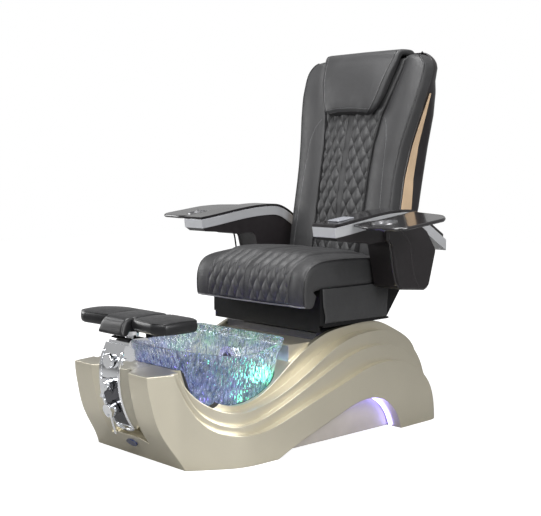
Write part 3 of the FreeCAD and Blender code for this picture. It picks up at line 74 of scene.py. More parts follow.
# Back: seam line, and outer and inner half widths, at a few heights
BACK_Z = [600, 702, 820, 937, 1062, 1181, 1271, 1366, 1412]
BACK_Y = [1127, 1140, 1162, 1182, 1208, 1237, 1262, 1294, 1310]
BACK_OUTER = [258, 262, 265, 264, 276, 300, 315, 317, 292]
BACK_INNER = [120, 122, 126, 128, 132, 150, 180, 205, 208]
GUSSET = 64.0  # depth of the cushions
SHOULDER = 56.0  # radius of the top corners
LUMBAR_BOTTOM, LUMBAR_TOP = 606.0, 722.0
CENTRE_TOP = 1408.0
WING_BOTTOM, WING_TOP = 603.0, 1416.0
WING_STITCH_Z = [600, 815, 1000, 1086, 1140, 1184]
WING_STITCH_X = [225, 219, 210, 205, 190, 160]
WING_SEWN = (640.0, 1182.0)  # heights between which the stitches show
PILLOW_BOTTOM, PILLOW_TOP = 1180.0, 1444.0
PILLOW_Z = [PILLOW_BOTTOM, 1184, 1192, 1206, 1228, 1260, 1320, 1400, PILLOW_TOP]
PILLOW_HALF = [88, 106, 122, 137, 150, 162, 178, 198, 204]

# Back shell: depth behind the seam, rear corner radius, and rise of the middle spine, at a few heights
SHELL_Z = [642, 700, 820, 937, 1062, 1181, 1271, 1366, 1424]
SHELL_DEPTH = [178, 190, 205, 212, 202, 185, 166, 132, 112]
SHELL_CORNER = [40, 40, 40, 42, 46, 60, 80, 92, 92]
SHELL_SPINE = [0, 0, 0, 0, 0, 5, 24, 38, 24]
SHELL_ROLL = 46.0  # radius of the rolled top
SHELL_INSET = 10.0  # from the cushions' outer edge
SHELL_WALL = 5.0
SPINE_HALF, SPINE_FADE = 112.0, 85.0
PANEL_BOTTOM, PANEL_TOP, PANEL_WIDTH = 722.0, 1262.0, 60.0  # beige panels

# Footrest
REST_Z, REST_T = 450.0, 43.0
REST_HALF, REST_FRONT, REST_REAR, REST_CENTRE = 248.0, 82.0, 268.0, 66.0

# Trays: their edge, and the plane of the top
TRAY_EDGE = [(420, 800), (510, 764), (628, 772), (652, 800), (658, 988), (612, 1040), (470, 1074),
             (442, 1095), (442, 1000)]
TRAY_CORNER = 26.0  # how far before a corner of that edge its curve starts
TRAY_SLOPE, TRAY_Y0, TRAY_Z0, TRAY_T = math.radians(6.9), 800.0, 787.0, 12.0
TRAY_ROUND = 3.5  # radius of the tray's own edges
SHARP = 35.0  # degrees from which an edge is rounded

# Arm pods: the lines moulded in their outer faces, as (y, z)
POD_OUT = 425.0
POD_RIDGE = [(1029, 754), (1066, 728), (1089, 695), (1101, 635), (1118, 574), (1141, 540)]
POD_GROOVE = [(969, 719), (979, 691), (991, 628), (1008, 571), (1024, 548)]

# Tap column: the line of its face, as (y, z)
COLUMN_FRONT = [(84, 400), (66, 350), (60, 300), (64, 240), (80, 185), (100, 142), (116, 120)]
COLUMN_HALF = 53.0

# Skirts
SKIRT_X, SKIRT_T = 293.0, 5.5
SKIRT_BOTTOM, SKIRT_TOP, SKIRT_WIDTH = 421.0, 551.0, 352.0

# Covers: padding as a share, simulated points, and rounds of smoothing of what they move
COARSE = 6  # every sixth point of a cover is simulated
SOFT_TURNS = 25
CLOTH_STIFFNESS, CLOTH_STEPS = 18.0, 20
STITCH, STITCH_STEP, STITCH_RADIUS = 3.4, 5.2, 0.8

HANDS = (("left", 1), ("right", -1))  # the name of each side, and the sign of its x


# Meshes

def metres(points):
    """Datum millimetres to the frame's metres."""
    moved = np.array(points, float)
    moved[..., 1] -= MIDDLE
    return moved * MM


def outward(mesh, merge=True):
    """Faces turned to point out, with doubles merged and slivers dissolved first if asked."""
    work = bmesh.new()
    work.from_mesh(mesh)
    if merge:
        bmesh.ops.remove_doubles(work, verts=work.verts, dist=1e-5)
        bmesh.ops.dissolve_degenerate(work, edges=work.edges, dist=1e-6)
    bmesh.ops.recalc_face_normals(work, faces=work.faces)
    work.to_mesh(mesh)
    work.free()


def linked(name, data):
    """An object of some data, placed in the scene."""
    made = bpy.data.objects.new(name, data)
    bpy.context.scene.collection.objects.link(made)
    return made


def dress(slot, body, *pieces):
    """Pieces attached to the body that they ride on; slot is not used."""
    for piece in pieces:
        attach(piece, body)


def new_piece(name, points, faces, finish, uv=None, merge=True):
    """A mesh object from an array of points and one of faces, with an optional map given per point."""
    mesh = bpy.data.meshes.new(name)
    flat = metres(points).reshape(-1, 3)
    mesh.from_pydata(flat.tolist(), [], faces.tolist() if hasattr(faces, "tolist") else faces)
    if uv is not None:
        layer = mesh.uv_layers.new(name="cover")
        corner = np.zeros(len(mesh.loops), np.int32)
        mesh.loops.foreach_get("vertex_index", corner)
        layer.data.foreach_set("uv", uv.reshape(-1, 2)[corner].ravel())
    if merge:
        outward(mesh)
    mesh.polygons.foreach_set("use_smooth", np.ones(len(mesh.polygons), bool))
    mesh.materials.append(finish)
    return linked(name, mesh)


def points_of(*parts):
    """A grid of points from one array for each axis; the arrays broadcast together."""
    return np.stack(np.broadcast_arrays(*parts), -1)


def unit(vectors):
    """Vectors brought to length one."""
    return vectors / np.maximum(np.linalg.norm(vectors, axis=-1, keepdims=True), 1e-9)


def grid_faces(rows, columns, start=0, wrap=False):
    """Quads of a grid of points, row by row; wrap joins the last column to the first."""
    count = columns if wrap else columns - 1
    i, j = np.meshgrid(np.arange(rows - 1), np.arange(count), indexing="ij")
    k = (j + 1) % columns
    quads = np.stack([i * columns + j, i * columns + k, (i + 1) * columns + k, (i + 1) * columns + j], -1)
    return quads.reshape(-1, 4) + start


def edge_steps(length, reach, count, spacing, power):
    """Distances along a pad and its share of full thickness there: a rounded edge, then full.
    The edge has count steps in its reach, and power sets how square it is."""
    angle = np.linspace(0, math.pi / 2, count)
    near = reach * (1 - np.cos(angle) ** (2 / power))
    share = np.sin(angle) ** (2 / power)
    inner = np.linspace(reach, length - reach, max(2, int(round((length - 2 * reach) / spacing)) + 1))[1:-1]
    at = np.concatenate([near, inner, length - near[::-1]])
    return at, np.concatenate([share, np.ones(len(inner)), share[::-1]])


def along(path, at):
    """Points of a polyline at distances from its start, smoothed by a Catmull-Rom curve."""
    path = np.array(path, float)
    ends = np.vstack([2 * path[0] - path[1], path, 2 * path[-1] - path[-2]])
    t = np.linspace(0, len(path) - 1, 40 * (len(path) - 1) + 1)
    i = np.minimum(t.astype(int), len(path) - 2)
    f = (t - i)[:, None]
    a, b, c, d = ends[i], ends[i + 1], ends[i + 2], ends[i + 3]
    dense = 0.5 * (2 * b + (c - a) * f + (2 * a - 5 * b + 4 * c - d) * f ** 2
                   + (3 * b - a - 3 * c + d) * f ** 3)
    run = np.concatenate([[0], np.cumsum(np.linalg.norm(np.diff(dense, axis=0), axis=1))])
    at = np.asarray(at) * run[-1]
    return np.stack([np.interp(at, run, dense[:, k]) for k in range(dense.shape[1])], -1), run[-1]


def grid_normals(grid):
    """Unit normals of a grid of points, from the cross product of its two directions."""
    return unit(np.cross(np.gradient(grid, axis=0), np.gradient(grid, axis=1)))


def stretched(field, rows, columns, rows_at, columns_at):
    """A coarse field read between its rows and columns, first down, then across."""
    down = np.empty((len(rows), *field.shape[1:]))
    for j, k in np.ndindex(field.shape[1:]):
        down[:, j, k] = np.interp(rows, rows_at, field[:, j, k])
    whole = np.empty((len(rows), len(columns), field.shape[2]))
    for i, k in np.ndindex(len(rows), field.shape[2]):
        whole[i, :, k] = np.interp(columns, columns_at, down[i, :, k])
    return whole


def softened(field, turns):
    """A field averaged with its neighbours a few times, edges kept."""
    for _ in range(turns):
        inner = field[1:-1, 1:-1]
        around = field[:-2, 1:-1] + field[2:, 1:-1] + field[1:-1, :-2] + field[1:-1, 2:]
        field = field.copy()
        field[1:-1, 1:-1] = 0.4 * inner + 0.15 * around
    return field


def blown(front, rear, pressure, cap):
    """How far a closed cover moves when it is filled: a cloth simulation of the two coarse grids."""
    rows, columns = front.shape[:2]
    count = rows * columns
    inside = np.zeros((rows, columns), bool)
    inside[1:-1, 1:-1] = True
    index = np.arange(count).reshape(rows, columns)
    back = index.copy()
    back[inside] = count + np.arange(inside.sum())
    points = np.vstack([front.reshape(-1, 3), rear[inside]])
    faces = [side.ravel()[grid_faces(rows, columns)] for side in (index, back[:, ::-1])]
    mesh = bpy.data.meshes.new("cover")
    mesh.from_pydata(metres(points).tolist(), [], np.vstack(faces).tolist())
    outward(mesh, merge=False)
    cover = linked("cover", mesh)
    cloth = cover.modifiers.new("Cloth", "CLOTH")
    set_up = cloth.settings
    set_up.quality = 6
    set_up.mass = 0.3
    set_up.tension_stiffness = set_up.compression_stiffness = CLOTH_STIFFNESS
    set_up.shear_stiffness = CLOTH_STIFFNESS / 2
    set_up.bending_stiffness = 0.6
    set_up.use_pressure = True
    set_up.uniform_pressure_force = pressure
    set_up.effector_weights.gravity = 0.0
    cloth.collision_settings.use_collision = False
    cloth.point_cache.frame_start = 1
    cloth.point_cache.frame_end = CLOTH_STEPS
    for step in range(1, CLOTH_STEPS + 1):
        bpy.context.scene.frame_set(step)
    graph = bpy.context.evaluated_depsgraph_get()
    filled = cover.evaluated_get(graph).to_mesh()
    result = np.zeros(len(points) * 3)
    filled.vertices.foreach_get("co", result)
    moved = result.reshape(-1, 3) / MM
    moved[:, 1] += MIDDLE
    shift = moved - points
    shift -= shift[:count].mean(0)
    size = np.linalg.norm(shift, axis=1, keepdims=True)
    shift *= np.minimum(1, cap / np.maximum(size, 1e-9))
    bpy.data.objects.remove(cover)
    bpy.context.scene.frame_set(1)
    return shift[index], shift[back]


def pad(name, surface, outer, inner, rows, columns, finish, relief, fill, cap):
    """A closed cushion between two surfaces: surface gives each one's points from places down and across
    and from outer or inner. rows and columns are (places, shares of thickness)."""
    u, share_u = rows
    v, share_v = columns
    share = (share_u[:, None] * share_v[None, :])[..., None]
    face, under = surface(u, v, outer), surface(u, v, inner)
    middle, half = (face + under) / 2, (face - under) / 2
    face, under = middle + half * share, middle - half * share
    i = np.unique(np.append(np.arange(0, len(u), COARSE), len(u) - 1))
    j = np.unique(np.append(np.arange(0, len(v), COARSE), len(v) - 1))
    shifts = blown(face[np.ix_(i, j)], under[np.ix_(i, j)], fill, cap)
    up, low = (softened(stretched(shift, np.arange(len(u)), np.arange(len(v)), i, j), SOFT_TURNS)
               for shift in shifts)
    face, under = face + up, under + low
    under[0], under[-1], under[:, 0], under[:, -1] = face[0], face[-1], face[:, 0], face[:, -1]
    out = grid_normals(face)
    if ((face - under) * out).sum() < 0:
        out = -out
    if relief is not None:
        face = face + out * relief(u, v)[..., None] * (share > 0.999)
    uv = points_of(v[None, :], u[:, None]) * MM
    points = np.concatenate([face.reshape(-1, 3), under.reshape(-1, 3)])
    count = face.shape[0] * face.shape[1]
    faces = np.vstack([grid_faces(*face.shape[:2]), grid_faces(*face.shape[:2], start=count)[:, ::-1]])
    piece = new_piece(name, points, faces, finish, uv=np.concatenate([uv.reshape(-1, 2)] * 2))
    return piece, face, out


def mirror_pad(name, piece):
    """A copy of a pad on the chair's other side, its faces turned to point out again."""
    mesh = piece.data.copy()
    mesh.name = name
    mesh.transform(Matrix.Diagonal((-1, 1, 1, 1)))
    mesh.flip_normals()
    mesh.update()
    twin = linked(name, mesh)
    return twin


def tube(name, path, radius, finish, sides=10, closed=False):
    """A round bead carried along a path, its ends closed."""
    path = np.array(path, float)
    ahead = np.roll(path, -1, 0) - np.roll(path, 1, 0)
    if not closed:
        ahead[0], ahead[-1] = path[1] - path[0], path[-1] - path[-2]
    ahead = unit(ahead)
    guide = np.eye(3)[np.argmin(np.abs(ahead).mean(0))]
    side = unit(np.cross(ahead, guide))
    up = np.cross(side, ahead)
    angle = np.linspace(0, 2 * math.pi, sides, endpoint=False)
    ring = np.cos(angle)[None, :, None] * side[:, None] + np.sin(angle)[None, :, None] * up[:, None]
    points = path[:, None] + radius * ring
    if closed:
        points = np.concatenate([points, points[:1]])
    faces = grid_faces(len(points), sides, wrap=True).tolist()
    if not closed:
        faces += [list(range(sides)), list(range((len(points) - 1) * sides, len(points) * sides))]
    return new_piece(name, points, faces, finish)


def stitches(name, path):
    """A row of stitches along a path: each a spindle of two points and a ring of four."""
    path = np.array(path, float)
    run = np.concatenate([[0], np.cumsum(np.linalg.norm(np.diff(path, axis=0), axis=1))])
    starts = np.arange(STITCH_STEP, run[-1] - STITCH_STEP, STITCH_STEP)

    def read(at):
        return np.stack([np.interp(at, run, path[:, k]) for k in range(3)], -1)

    a, b = read(starts), read(starts + STITCH)
    ahead = unit(b - a)
    side = unit(np.cross(ahead, [0.3, 0.2, 0.93]))
    up = np.cross(ahead, side)
    middle = (a + b) / 2
    ring = [middle + STITCH_RADIUS * s for s in (side, up, -side, -up)]
    points = np.stack([a, *ring, b], 1)
    base = np.arange(len(points))[:, None, None] * 6
    fans = np.array([[0, 1, 2], [0, 2, 3], [0, 3, 4], [0, 4, 1], [5, 2, 1], [5, 3, 2], [5, 4, 3], [5, 1, 4]])
    return new_piece(name, points, (base + fans).reshape(-1, 3), thread, merge=False)


# Finishes

class Finish:
    """A material whose pattern is built node by node from Object coordinates."""

    def __init__(self, name, colour, roughness, metallic=0.0, **sockets):
        self.material = bpy.data.materials.new(name)
        self.material.use_nodes = True
        self.nodes = self.material.node_tree.nodes
        self.links = self.material.node_tree.links
        self.shader = self.nodes["Principled BSDF"]
        sockets |= {"Base Color": (*colour, 1.0), "Roughness": roughness, "Metallic": metallic}
        for socket, value in sockets.items():
            self.shader.inputs[socket.replace("_", " ")].default_value = value
        self.place = self.nodes.new("ShaderNodeTexCoord").outputs["Object"]
        self.colour = colour

    def node(self, kind, **values):
        made = self.nodes.new(kind)
        for key, value in values.items():
            if key in made.inputs:
                made.inputs[key].default_value = value
            else:
                setattr(made, key, value)
        return made

    def join(self, start, end):
        self.links.new(start, end)

    def noise(self, scale, detail=3.0, rough=0.5, place=None):
        made = self.node("ShaderNodeTexNoise", Scale=scale, Detail=detail, Roughness=rough)
        self.join(place or self.place, made.inputs["Vector"])
        return made.outputs["Fac"]

    def cells(self, scale, place=None):
        made = self.node("ShaderNodeTexVoronoi", feature="F1", Scale=scale)
        self.join(place or self.place, made.inputs["Vector"])
        return made.outputs["Distance"]

    def ramp(self, value, stops):
        """A value carried from one range to another; stops are (low, high, to low, to high)."""
        made = self.node("ShaderNodeMapRange")
        for socket, stop in zip(("From Min", "From Max", "To Min", "To Max"), stops):
            made.inputs[socket].default_value = stop
        self.join(value, made.inputs["Value"])
        return made.outputs["Result"]

    def scaled(self, scale):
        """Object coordinates stretched along each axis."""
        made = self.node("ShaderNodeMapping")
        made.inputs["Scale"].default_value = scale
        self.join(self.place, made.inputs["Vector"])
        return made.outputs["Vector"]

    def sum(self, a, b, kind="ADD"):
        made = self.node("ShaderNodeMath", operation=kind)
        for socket, value in zip(made.inputs, (a, b)):
            if isinstance(value, (int, float)):
                socket.default_value = value
            else:
                self.join(value, socket)
        return made.outputs[0]

    def bump(self, height, strength, distance):
        made = self.node("ShaderNodeBump", Strength=strength, Distance=distance)
        self.join(height, made.inputs["Height"])
        if self.shader.inputs["Normal"].links:
            self.join(self.shader.inputs["Normal"].links[0].from_socket, made.inputs["Normal"])
        self.join(made.outputs["Normal"], self.shader.inputs["Normal"])

    def round_edges(self, radius):
        """Edges that catch the light as if rounded."""
        made = self.node("ShaderNodeBevel", samples=6, Radius=radius)
        self.join(made.outputs["Normal"], self.shader.inputs["Normal"])

    def mix(self, value, first, second):
        """The base colour between two, each a fixed colour or another node's output."""
        made = self.node("ShaderNodeMix", data_type="RGBA")
        self.join(value, made.inputs[0])
        for socket, colour in ((made.inputs[6], first), (made.inputs[7], second)):
            if isinstance(colour, tuple):
                socket.default_value = (*colour, 1.0)
            else:
                self.join(colour, socket)
        self.join(made.outputs[2], self.shader.inputs["Base Color"])
        return made.outputs[2]

    def shade(self, value, light, dark):
        """The base colour between a darker and a lighter tone, by a value from 0 to 1."""
        darker, lighter = (tuple(min(1.0, c * share) for c in self.colour) for share in (dark, light))
        return self.mix(value, darker, lighter)

    def rough(self, value, low, high):
        self.join(self.ramp(value, (0.3, 0.7, low, high)), self.shader.inputs["Roughness"])


def grained(made, low, high, grain=1.0):
    """Leather's pebble grain, slow drift of tone and gloss, and small creases; gives its base colour."""
    tone = made.shade(made.ramp(made.noise(9, 4), (0.3, 0.7, 0.0, 1.0)), 1.12, 0.86)
    made.rough(made.noise(60, 3), low, high)
    made.bump(made.ramp(made.cells(820), (0.0, 0.6, 0.0, 1.0)), 0.22 * grain, 0.0004)
    made.bump(made.noise(38, 5), 0.10 * grain, 0.0022)
    return tone


def leather(name, colour, roughness=0.5, grain=1.0):
    """Plain cover leather."""
    made = Finish(name, colour, roughness, Specular_IOR_Level=0.38)
    grained(made, roughness - 0.05, roughness + 0.07, grain)
    return made.material


def quilted_leather(name, colour):
    """Cover leather whose centre strip is punched with small holes, placed by the piece's own map; the holes
    are painted near-black as painted shade inside them.
    """
    made = Finish(name, colour, 0.48, Specular_IOR_Level=0.38)
    tone = grained(made, 0.43, 0.56)
    cover = made.node("ShaderNodeUVMap", uv_map="cover")
    split = made.node("ShaderNodeSeparateXYZ")
    made.join(cover.outputs["UV"], split.inputs[0])
    across, down = split.outputs["X"], split.outputs["Y"]
    centre = made.sum(across, SEAT_HALF * MM, "SUBTRACT")
    inside = made.sum(made.sum(centre, 0.0, "ABSOLUTE"), (STRIP_HALF - 4) * MM, "LESS_THAN")
    squares = []
    for axis in (across, down):
        cell = made.sum(made.sum(axis, 1 / (HOLE_STEP * MM), "MULTIPLY"), 0.0, "FRACT")
        off = made.sum(cell, 0.5, "SUBTRACT")
        squares.append(made.sum(off, off, "MULTIPLY"))
    hole_and_painted_shade = made.sum(made.sum(made.sum(*squares), 0.055, "LESS_THAN"), inside, "MULTIPLY")
    # painted shade: the holes are coloured near-black for the shadow inside them
    made.mix(hole_and_painted_shade, tone, (0.004, 0.004, 0.004))
    made.bump(made.sum(1.0, hole_and_painted_shade, "SUBTRACT"), 0.6, 0.001)
    return made.material


def moulded(name, colour, roughness, grain=0.15, coat=0.0, shine=0.5):
    """Moulded plastic: a fine spark-eroded grain and uneven gloss."""
    made = Finish(name, colour, roughness, Coat_Weight=coat, Coat_Roughness=0.06, Specular_IOR_Level=shine)
    made.shade(made.noise(14, 4), 1.15, 0.85)
    made.rough(made.noise(45, 3), roughness * 0.85, roughness * 1.2)
    made.round_edges(0.0025)
    made.bump(made.noise(900, 2), grain, 0.0003)
    return made.material


def plated(name, colour, roughness, wobble=0.03):
    """Polished plating, with a faint waviness and wiping marks in its gloss."""
    made = Finish(name, colour, roughness, metallic=1.0)
    made.rough(made.noise(70, 4), roughness * 0.6, roughness * 1.6)
    made.bump(made.noise(24, 2), wobble, 0.002)
    return made.material


def brushed(name, colour, roughness):
    """Metal drawn along the chair's length: long thin streaks in gloss and relief."""
    made = Finish(name, colour, roughness, metallic=1.0)
    streaks = made.noise(1, 4, place=made.scaled((900, 12, 900)))
    made.rough(streaks, roughness * 0.8, roughness * 1.25)
    made.bump(streaks, 0.08, 0.0003)
    return made.material


def satin(name, colour):
    """Silver paint: fine flake under a soft satin coat."""
    made = Finish(name, colour, 0.34, metallic=0.7, Coat_Weight=0.3, Coat_Roughness=0.15)
    made.shade(made.ramp(made.cells(2400), (0.0, 0.7, 0.3, 0.7)), 1.08, 0.92)
    made.rough(made.noise(50, 3), 0.30, 0.40)
    made.round_edges(0.0016)
    made.bump(made.noise(800, 2), 0.05, 0.0002)
    return made.material


def pearl(name, colour):
    """Pearl champagne gel coat: metal flake under a clear coat, with a slow drift of tone."""
    made = Finish(name, colour, 0.36, metallic=0.9, Coat_Weight=0.25, Coat_Roughness=0.12)
    flake = made.cells(2600)
    drift = made.noise(5, 3)
    tone = made.sum(made.ramp(flake, (0.0, 0.7, -0.10, 0.10)), made.ramp(drift, (0.3, 0.7, 0.35, 0.65)))
    made.shade(tone, 1.10, 0.90)
    made.rough(flake, 0.30, 0.38)
    made.round_edges(0.004)
    made.bump(made.noise(7, 2), 0.05, 0.004)
    return made.material


def clear_glass(name):
    """Thick clear glass with a hammered face, with painted light: its emission, violet in front and green
    behind, in spots and painted glints at the dimples, is painted glow standing for the bowl's lamps, and its
    colour turns blue at the dimples' rims as painted light.
    """
    made = Finish(name, (0.93, 0.96, 1.0), 0.04, Transmission_Weight=0.95, IOR=1.36)
    dimples = made.cells(110, place=made.scaled((1.0, 1.0, 0.40)))
    made.bump(dimples, 0.9, 0.005)
    made.bump(made.noise(60, 3, 0.55), 0.4, 0.004)
    # painted light: the colour turns blue towards the dimples' rims, standing for the lamps' coloured light
    # in the glass
    made.mix(made.ramp(dimples, (0.35, 0.75, 0.0, 1.0)), (0.95, 0.98, 1.0), (0.38, 0.46, 0.72))
    # painted glow: emission violet in front and green behind, in spots and brightest at the dimples' middles,
    # stands for the bowl's lamps shining in the glass
    split = made.node("ShaderNodeSeparateXYZ")
    made.join(made.place, split.inputs[0])
    along_bowl = made.sum(split.outputs["Y"], made.ramp(made.noise(14, 2), (0.3, 0.7, -0.05, 0.05)))
    painted_glow_colour = made.node("ShaderNodeValToRGB")
    stops = painted_glow_colour.color_ramp.elements
    stops[0].position, stops[0].color = 0.0, (0.10, 0.12, 0.75, 1)
    stops[1].position, stops[1].color = 1.0, (0.10, 0.95, 0.30, 1)
    stops.new(0.45).color = (0.30, 0.22, 0.95, 1)
    stops.new(0.68).color = (0.16, 0.40, 0.55, 1)
    made.join(made.ramp(along_bowl, (-0.54, -0.13, 0.0, 1.0)), painted_glow_colour.inputs[0])
    made.join(painted_glow_colour.outputs[0], made.shader.inputs["Emission Color"])
    painted_glow_spots = made.ramp(made.noise(11, 2), (0.46, 0.72, 0.01, 0.22))
    painted_glints = made.ramp(dimples, (0.1, 0.55, 1.4, 0.3))
    made.join(made.sum(painted_glow_spots, painted_glints, "MULTIPLY"), made.shader.inputs["Emission Strength"])
    return made.material


def glowing(name, colour, strength):
    """A frosted lens that glows, a little uneven along its length."""
    made = Finish(name, (0.8, 0.8, 0.9), 0.4)
    made.shader.inputs["Emission Color"].default_value = (*colour, 1.0)
    made.join(made.ramp(made.noise(20, 2), (0.3, 0.7, strength * 0.85, strength * 1.15)),
              made.shader.inputs["Emission Strength"])
    return made.material


CHARCOAL = (0.030, 0.030, 0.031)
charcoal = leather("charcoal_leather", CHARCOAL)
quilt = quilted_leather("quilted_leather", CHARCOAL)
black_cover = leather("black_leather", (0.010, 0.010, 0.011), 0.33, 0.7)
beige_cover = leather("beige_leather", (0.47, 0.34, 0.22), 0.5)
piping = leather("piping_leather", (0.012, 0.012, 0.013), 0.35, 0.6)
light_piping = leather("light_piping", (0.14, 0.14, 0.145), 0.35, 0.6)
thread = leather("stitching_thread", (0.34, 0.34, 0.35), 0.6, 0.5)
champagne = pearl("pearl_gel_coat", (0.66, 0.615, 0.495))
arch_paint = moulded("arch_panel_paint", (0.50, 0.46, 0.42), 0.4, 0.1)
rubber = moulded("black_rubber", (0.02, 0.02, 0.02), 0.7, 0.4)
powder_coat = moulded("black_powder_coat", (0.004, 0.004, 0.0045), 0.5, 0.5, shine=0.2)
navy_paint = moulded("dark_slide_paint", (0.018, 0.018, 0.034), 0.35, 0.2, coat=0.4)
black_plastic = moulded("black_plastic", (0.016, 0.016, 0.018), 0.45, 0.35)
gloss_black = moulded("gloss_black", (0.012, 0.011, 0.012), 0.16, 0.03, coat=0.6)
pod_plastic = moulded("arm_shell_plastic", (0.011, 0.009, 0.010), 0.38, 0.12, coat=0.1)
dark_insert = plated("dark_column_insert", (0.10, 0.10, 0.11), 0.16)
chrome = plated("polished_chrome", (0.86, 0.87, 0.89), 0.06)
steel = brushed("machined_steel", (0.42, 0.42, 0.43), 0.3)
silver = satin("silver_trim", (0.66, 0.67, 0.69))
glass = clear_glass("hammered_glass")
arch_glow = glowing("arch_light_lens", (0.33, 0.30, 1.0), 7.0)
bowl_glow = glowing("bowl_light_lens", (0.15, 1.0, 0.45), 6.0)
medallion_blue = moulded("nose_oval_enamel", (0.020, 0.035, 0.12), 0.2, 0.02, coat=0.8)
keypad_film = moulded("keypad_film", (0.30, 0.31, 0.34), 0.28, 0.05, coat=0.5)

# Each finish of the CAD's own nodes, and the nodes that have it
NODE_FINISHES = (
    (champagne, "base_shell"), (arch_paint, "arch_panels"), (arch_glow, "arch_lights"), (glass, "foot_bowl"),
    (bowl_glow, "bowl_light"), (dark_insert, "column_face"), (medallion_blue, "front_medallion"),
    (navy_paint, "slide_base"), (keypad_film, "arm_keypad"), (silver, "arm_band_left arm_band_right"),
    (rubber, "levelling_feet bowl_gasket water_lines"),
    (chrome, "jet_housing drain_plug faucet_column diverter_handle mixer_cap mixer_lever spray_head"),
    (chrome, "footrest_post"),
    (powder_coat, "floor_frame footrest_plate carriage_plate seat_frame back_frame"),
    (steel, "drain_flange valve_body slide_rails slide_rod pivot_pins recline_rod"),
    (steel, "tray_hinge_left tray_hinge_right cup_holder_left cup_holder_right"),
    (black_plastic, "jet_impeller drain_pump slide_motor recline_motor massage_carriage massage_rollers"),
    (pod_plastic, "back_shell arm_shell_left arm_shell_right"),
    (gloss_black, "arm_pad_left arm_pad_right tray_left tray_right"),
)
for finish, names in NODE_FINISHES:
    for name in names.split():
        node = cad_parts[name]
        if not node.material_slots:
            node.data.materials.append(finish)
        for place in node.material_slots:
            place.material = finish


for hand, _ in HANDS:
    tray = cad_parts[f"tray_{hand}"]
    weld = tray.modifiers.new("Weld", "WELD")
    weld.merge_threshold = 1e-5
    bevel = tray.modifiers.new("Bevel", "BEVEL")
    bevel.width = TRAY_ROUND * MM
    bevel.segments = 3
    bevel.limit_method = "ANGLE"
    bevel.angle_limit = math.radians(SHARP)
    bevel.use_clamp_overlap = True
    bevel.harden_normals = True


# Upholstery

def sewn(distance, width):
    """How deep a sewn line draws the cover in, from 1 on the line to 0 beside it."""
    return np.exp(-(distance / width) ** 2)


def quilt_relief(x, s, edge, pitch, height, depth, straight_from=np.inf):
    """Sewn diamonds beside a centre strip: two families of slanting seams, and a puff between them that is
    fullest near each diamond's lower tip, as where the cover hangs over the seam below.
    Past straight_from the seams run straight on, so that the diamonds open into long channels."""
    out = np.abs(x)
    run = np.minimum(s, straight_from)
    a = (out - STRIP_HALF) / pitch + run / height
    b = (out - STRIP_HALF) / pitch - run / height
    puff = (np.abs(np.sin(math.pi * a)) * np.abs(np.sin(math.pi * b))) ** 0.4
    low = 1 - (a - np.floor(a) + 1 - (b - np.floor(b))) / 2
    puff *= 0.6 + 0.7 * low
    fade = np.clip((out - STRIP_HALF) / 5, 0, 1) * np.clip((edge - out) / 5, 0, 1)
    inside = (out > STRIP_HALF) & (out < edge)
    return depth * puff * fade * inside - 3.0 * (sewn(out - STRIP_HALF, 2.4) + sewn(out - edge, 2.4))


def seat():
    """The seat cushion: a waterfall front with diamonds, channels over the top and plain bolsters."""
    reach = 16.0
    _, length = along(SEAT_TOP, [0])
    rows = edge_steps(length, reach, 9, 3.2, 3.0)
    columns = edge_steps(2 * SEAT_HALF, reach, 11, 3.0, 3.4)

    def surface(u, v, path):
        line, _ = along(path, u / length)
        x = v - SEAT_HALF
        bolster = BOLSTER_RISE * sewn(np.abs(x) - BOLSTER_X, BOLSTER_REACH)
        crown = (SEAT_CROWN * (1 - (x / SEAT_HALF) ** 2) + bolster) * (path is SEAT_TOP)
        y, z = line[:, :1], line[:, 1:]
        ahead = unit(np.gradient(line, axis=0))
        return points_of(x, y - ahead[:, 1:] * crown, z + ahead[:, :1] * crown)

    def relief(u, v):
        s, x = u[:, None] - 14, v[None, :] - SEAT_HALF
        fade = np.clip((u[:, None] - 6) / 8, 0, 1)
        raised = quilt_relief(x, s, QUILT_EDGE, PITCH, DIAMOND_H, 10.0, 1.5 * DIAMOND_H)
        pull = -1.6 * sewn(np.abs(x) - SEAT_BORDER_X, 5) * (1 + np.sin(u[:, None] / 9.0) * 0.6)
        return (raised + pull) * fade

    piece, face, out = pad("seat_cover", surface, SEAT_TOP, SEAT_UNDER, rows, columns, quilt, relief,
                           fill=5.0, cap=7.0)
    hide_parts("seat_cushion")
    dress("charcoal_leather", "carriage", piece,
          tube("seat_piping_left", face[4:-4, -8] + out[4:-4, -8], 2.0, piping),
          tube("seat_piping_right", face[4:-4, 7] + out[4:-4, 7], 2.0, piping),
          tube("seat_front_piping", face[5, 6:-6] + out[5, 6:-6] * 1.2, 2.8, light_piping))


def seam_y(z):
    """Where the seam round the back's front lies at a height."""
    return np.interp(z, BACK_Z, BACK_Y)


def outer_half(z):
    """The back's half width at a height."""
    return np.interp(z, BACK_Z, BACK_OUTER)


def inner_half(z):
    """The half width of the back's middle at a height."""
    return np.interp(z, BACK_Z, BACK_INNER)


def smooth_read(z, values):
    """A table read through a moving average, so that its corners are rounded."""
    reach = np.linspace(-34, 34, 9)
    return np.mean([np.interp(z + r, BACK_Z, values) for r in reach], axis=0)


def between_widths(low, high, z, depth, v):
    """A grid across a back cushion: v from 0 to 1 runs from one width to the other at each height."""
    x = low[:, None] + (high - low)[:, None] * v[None, :]
    return points_of(x, seam_y(z)[:, None] + depth, z[:, None])


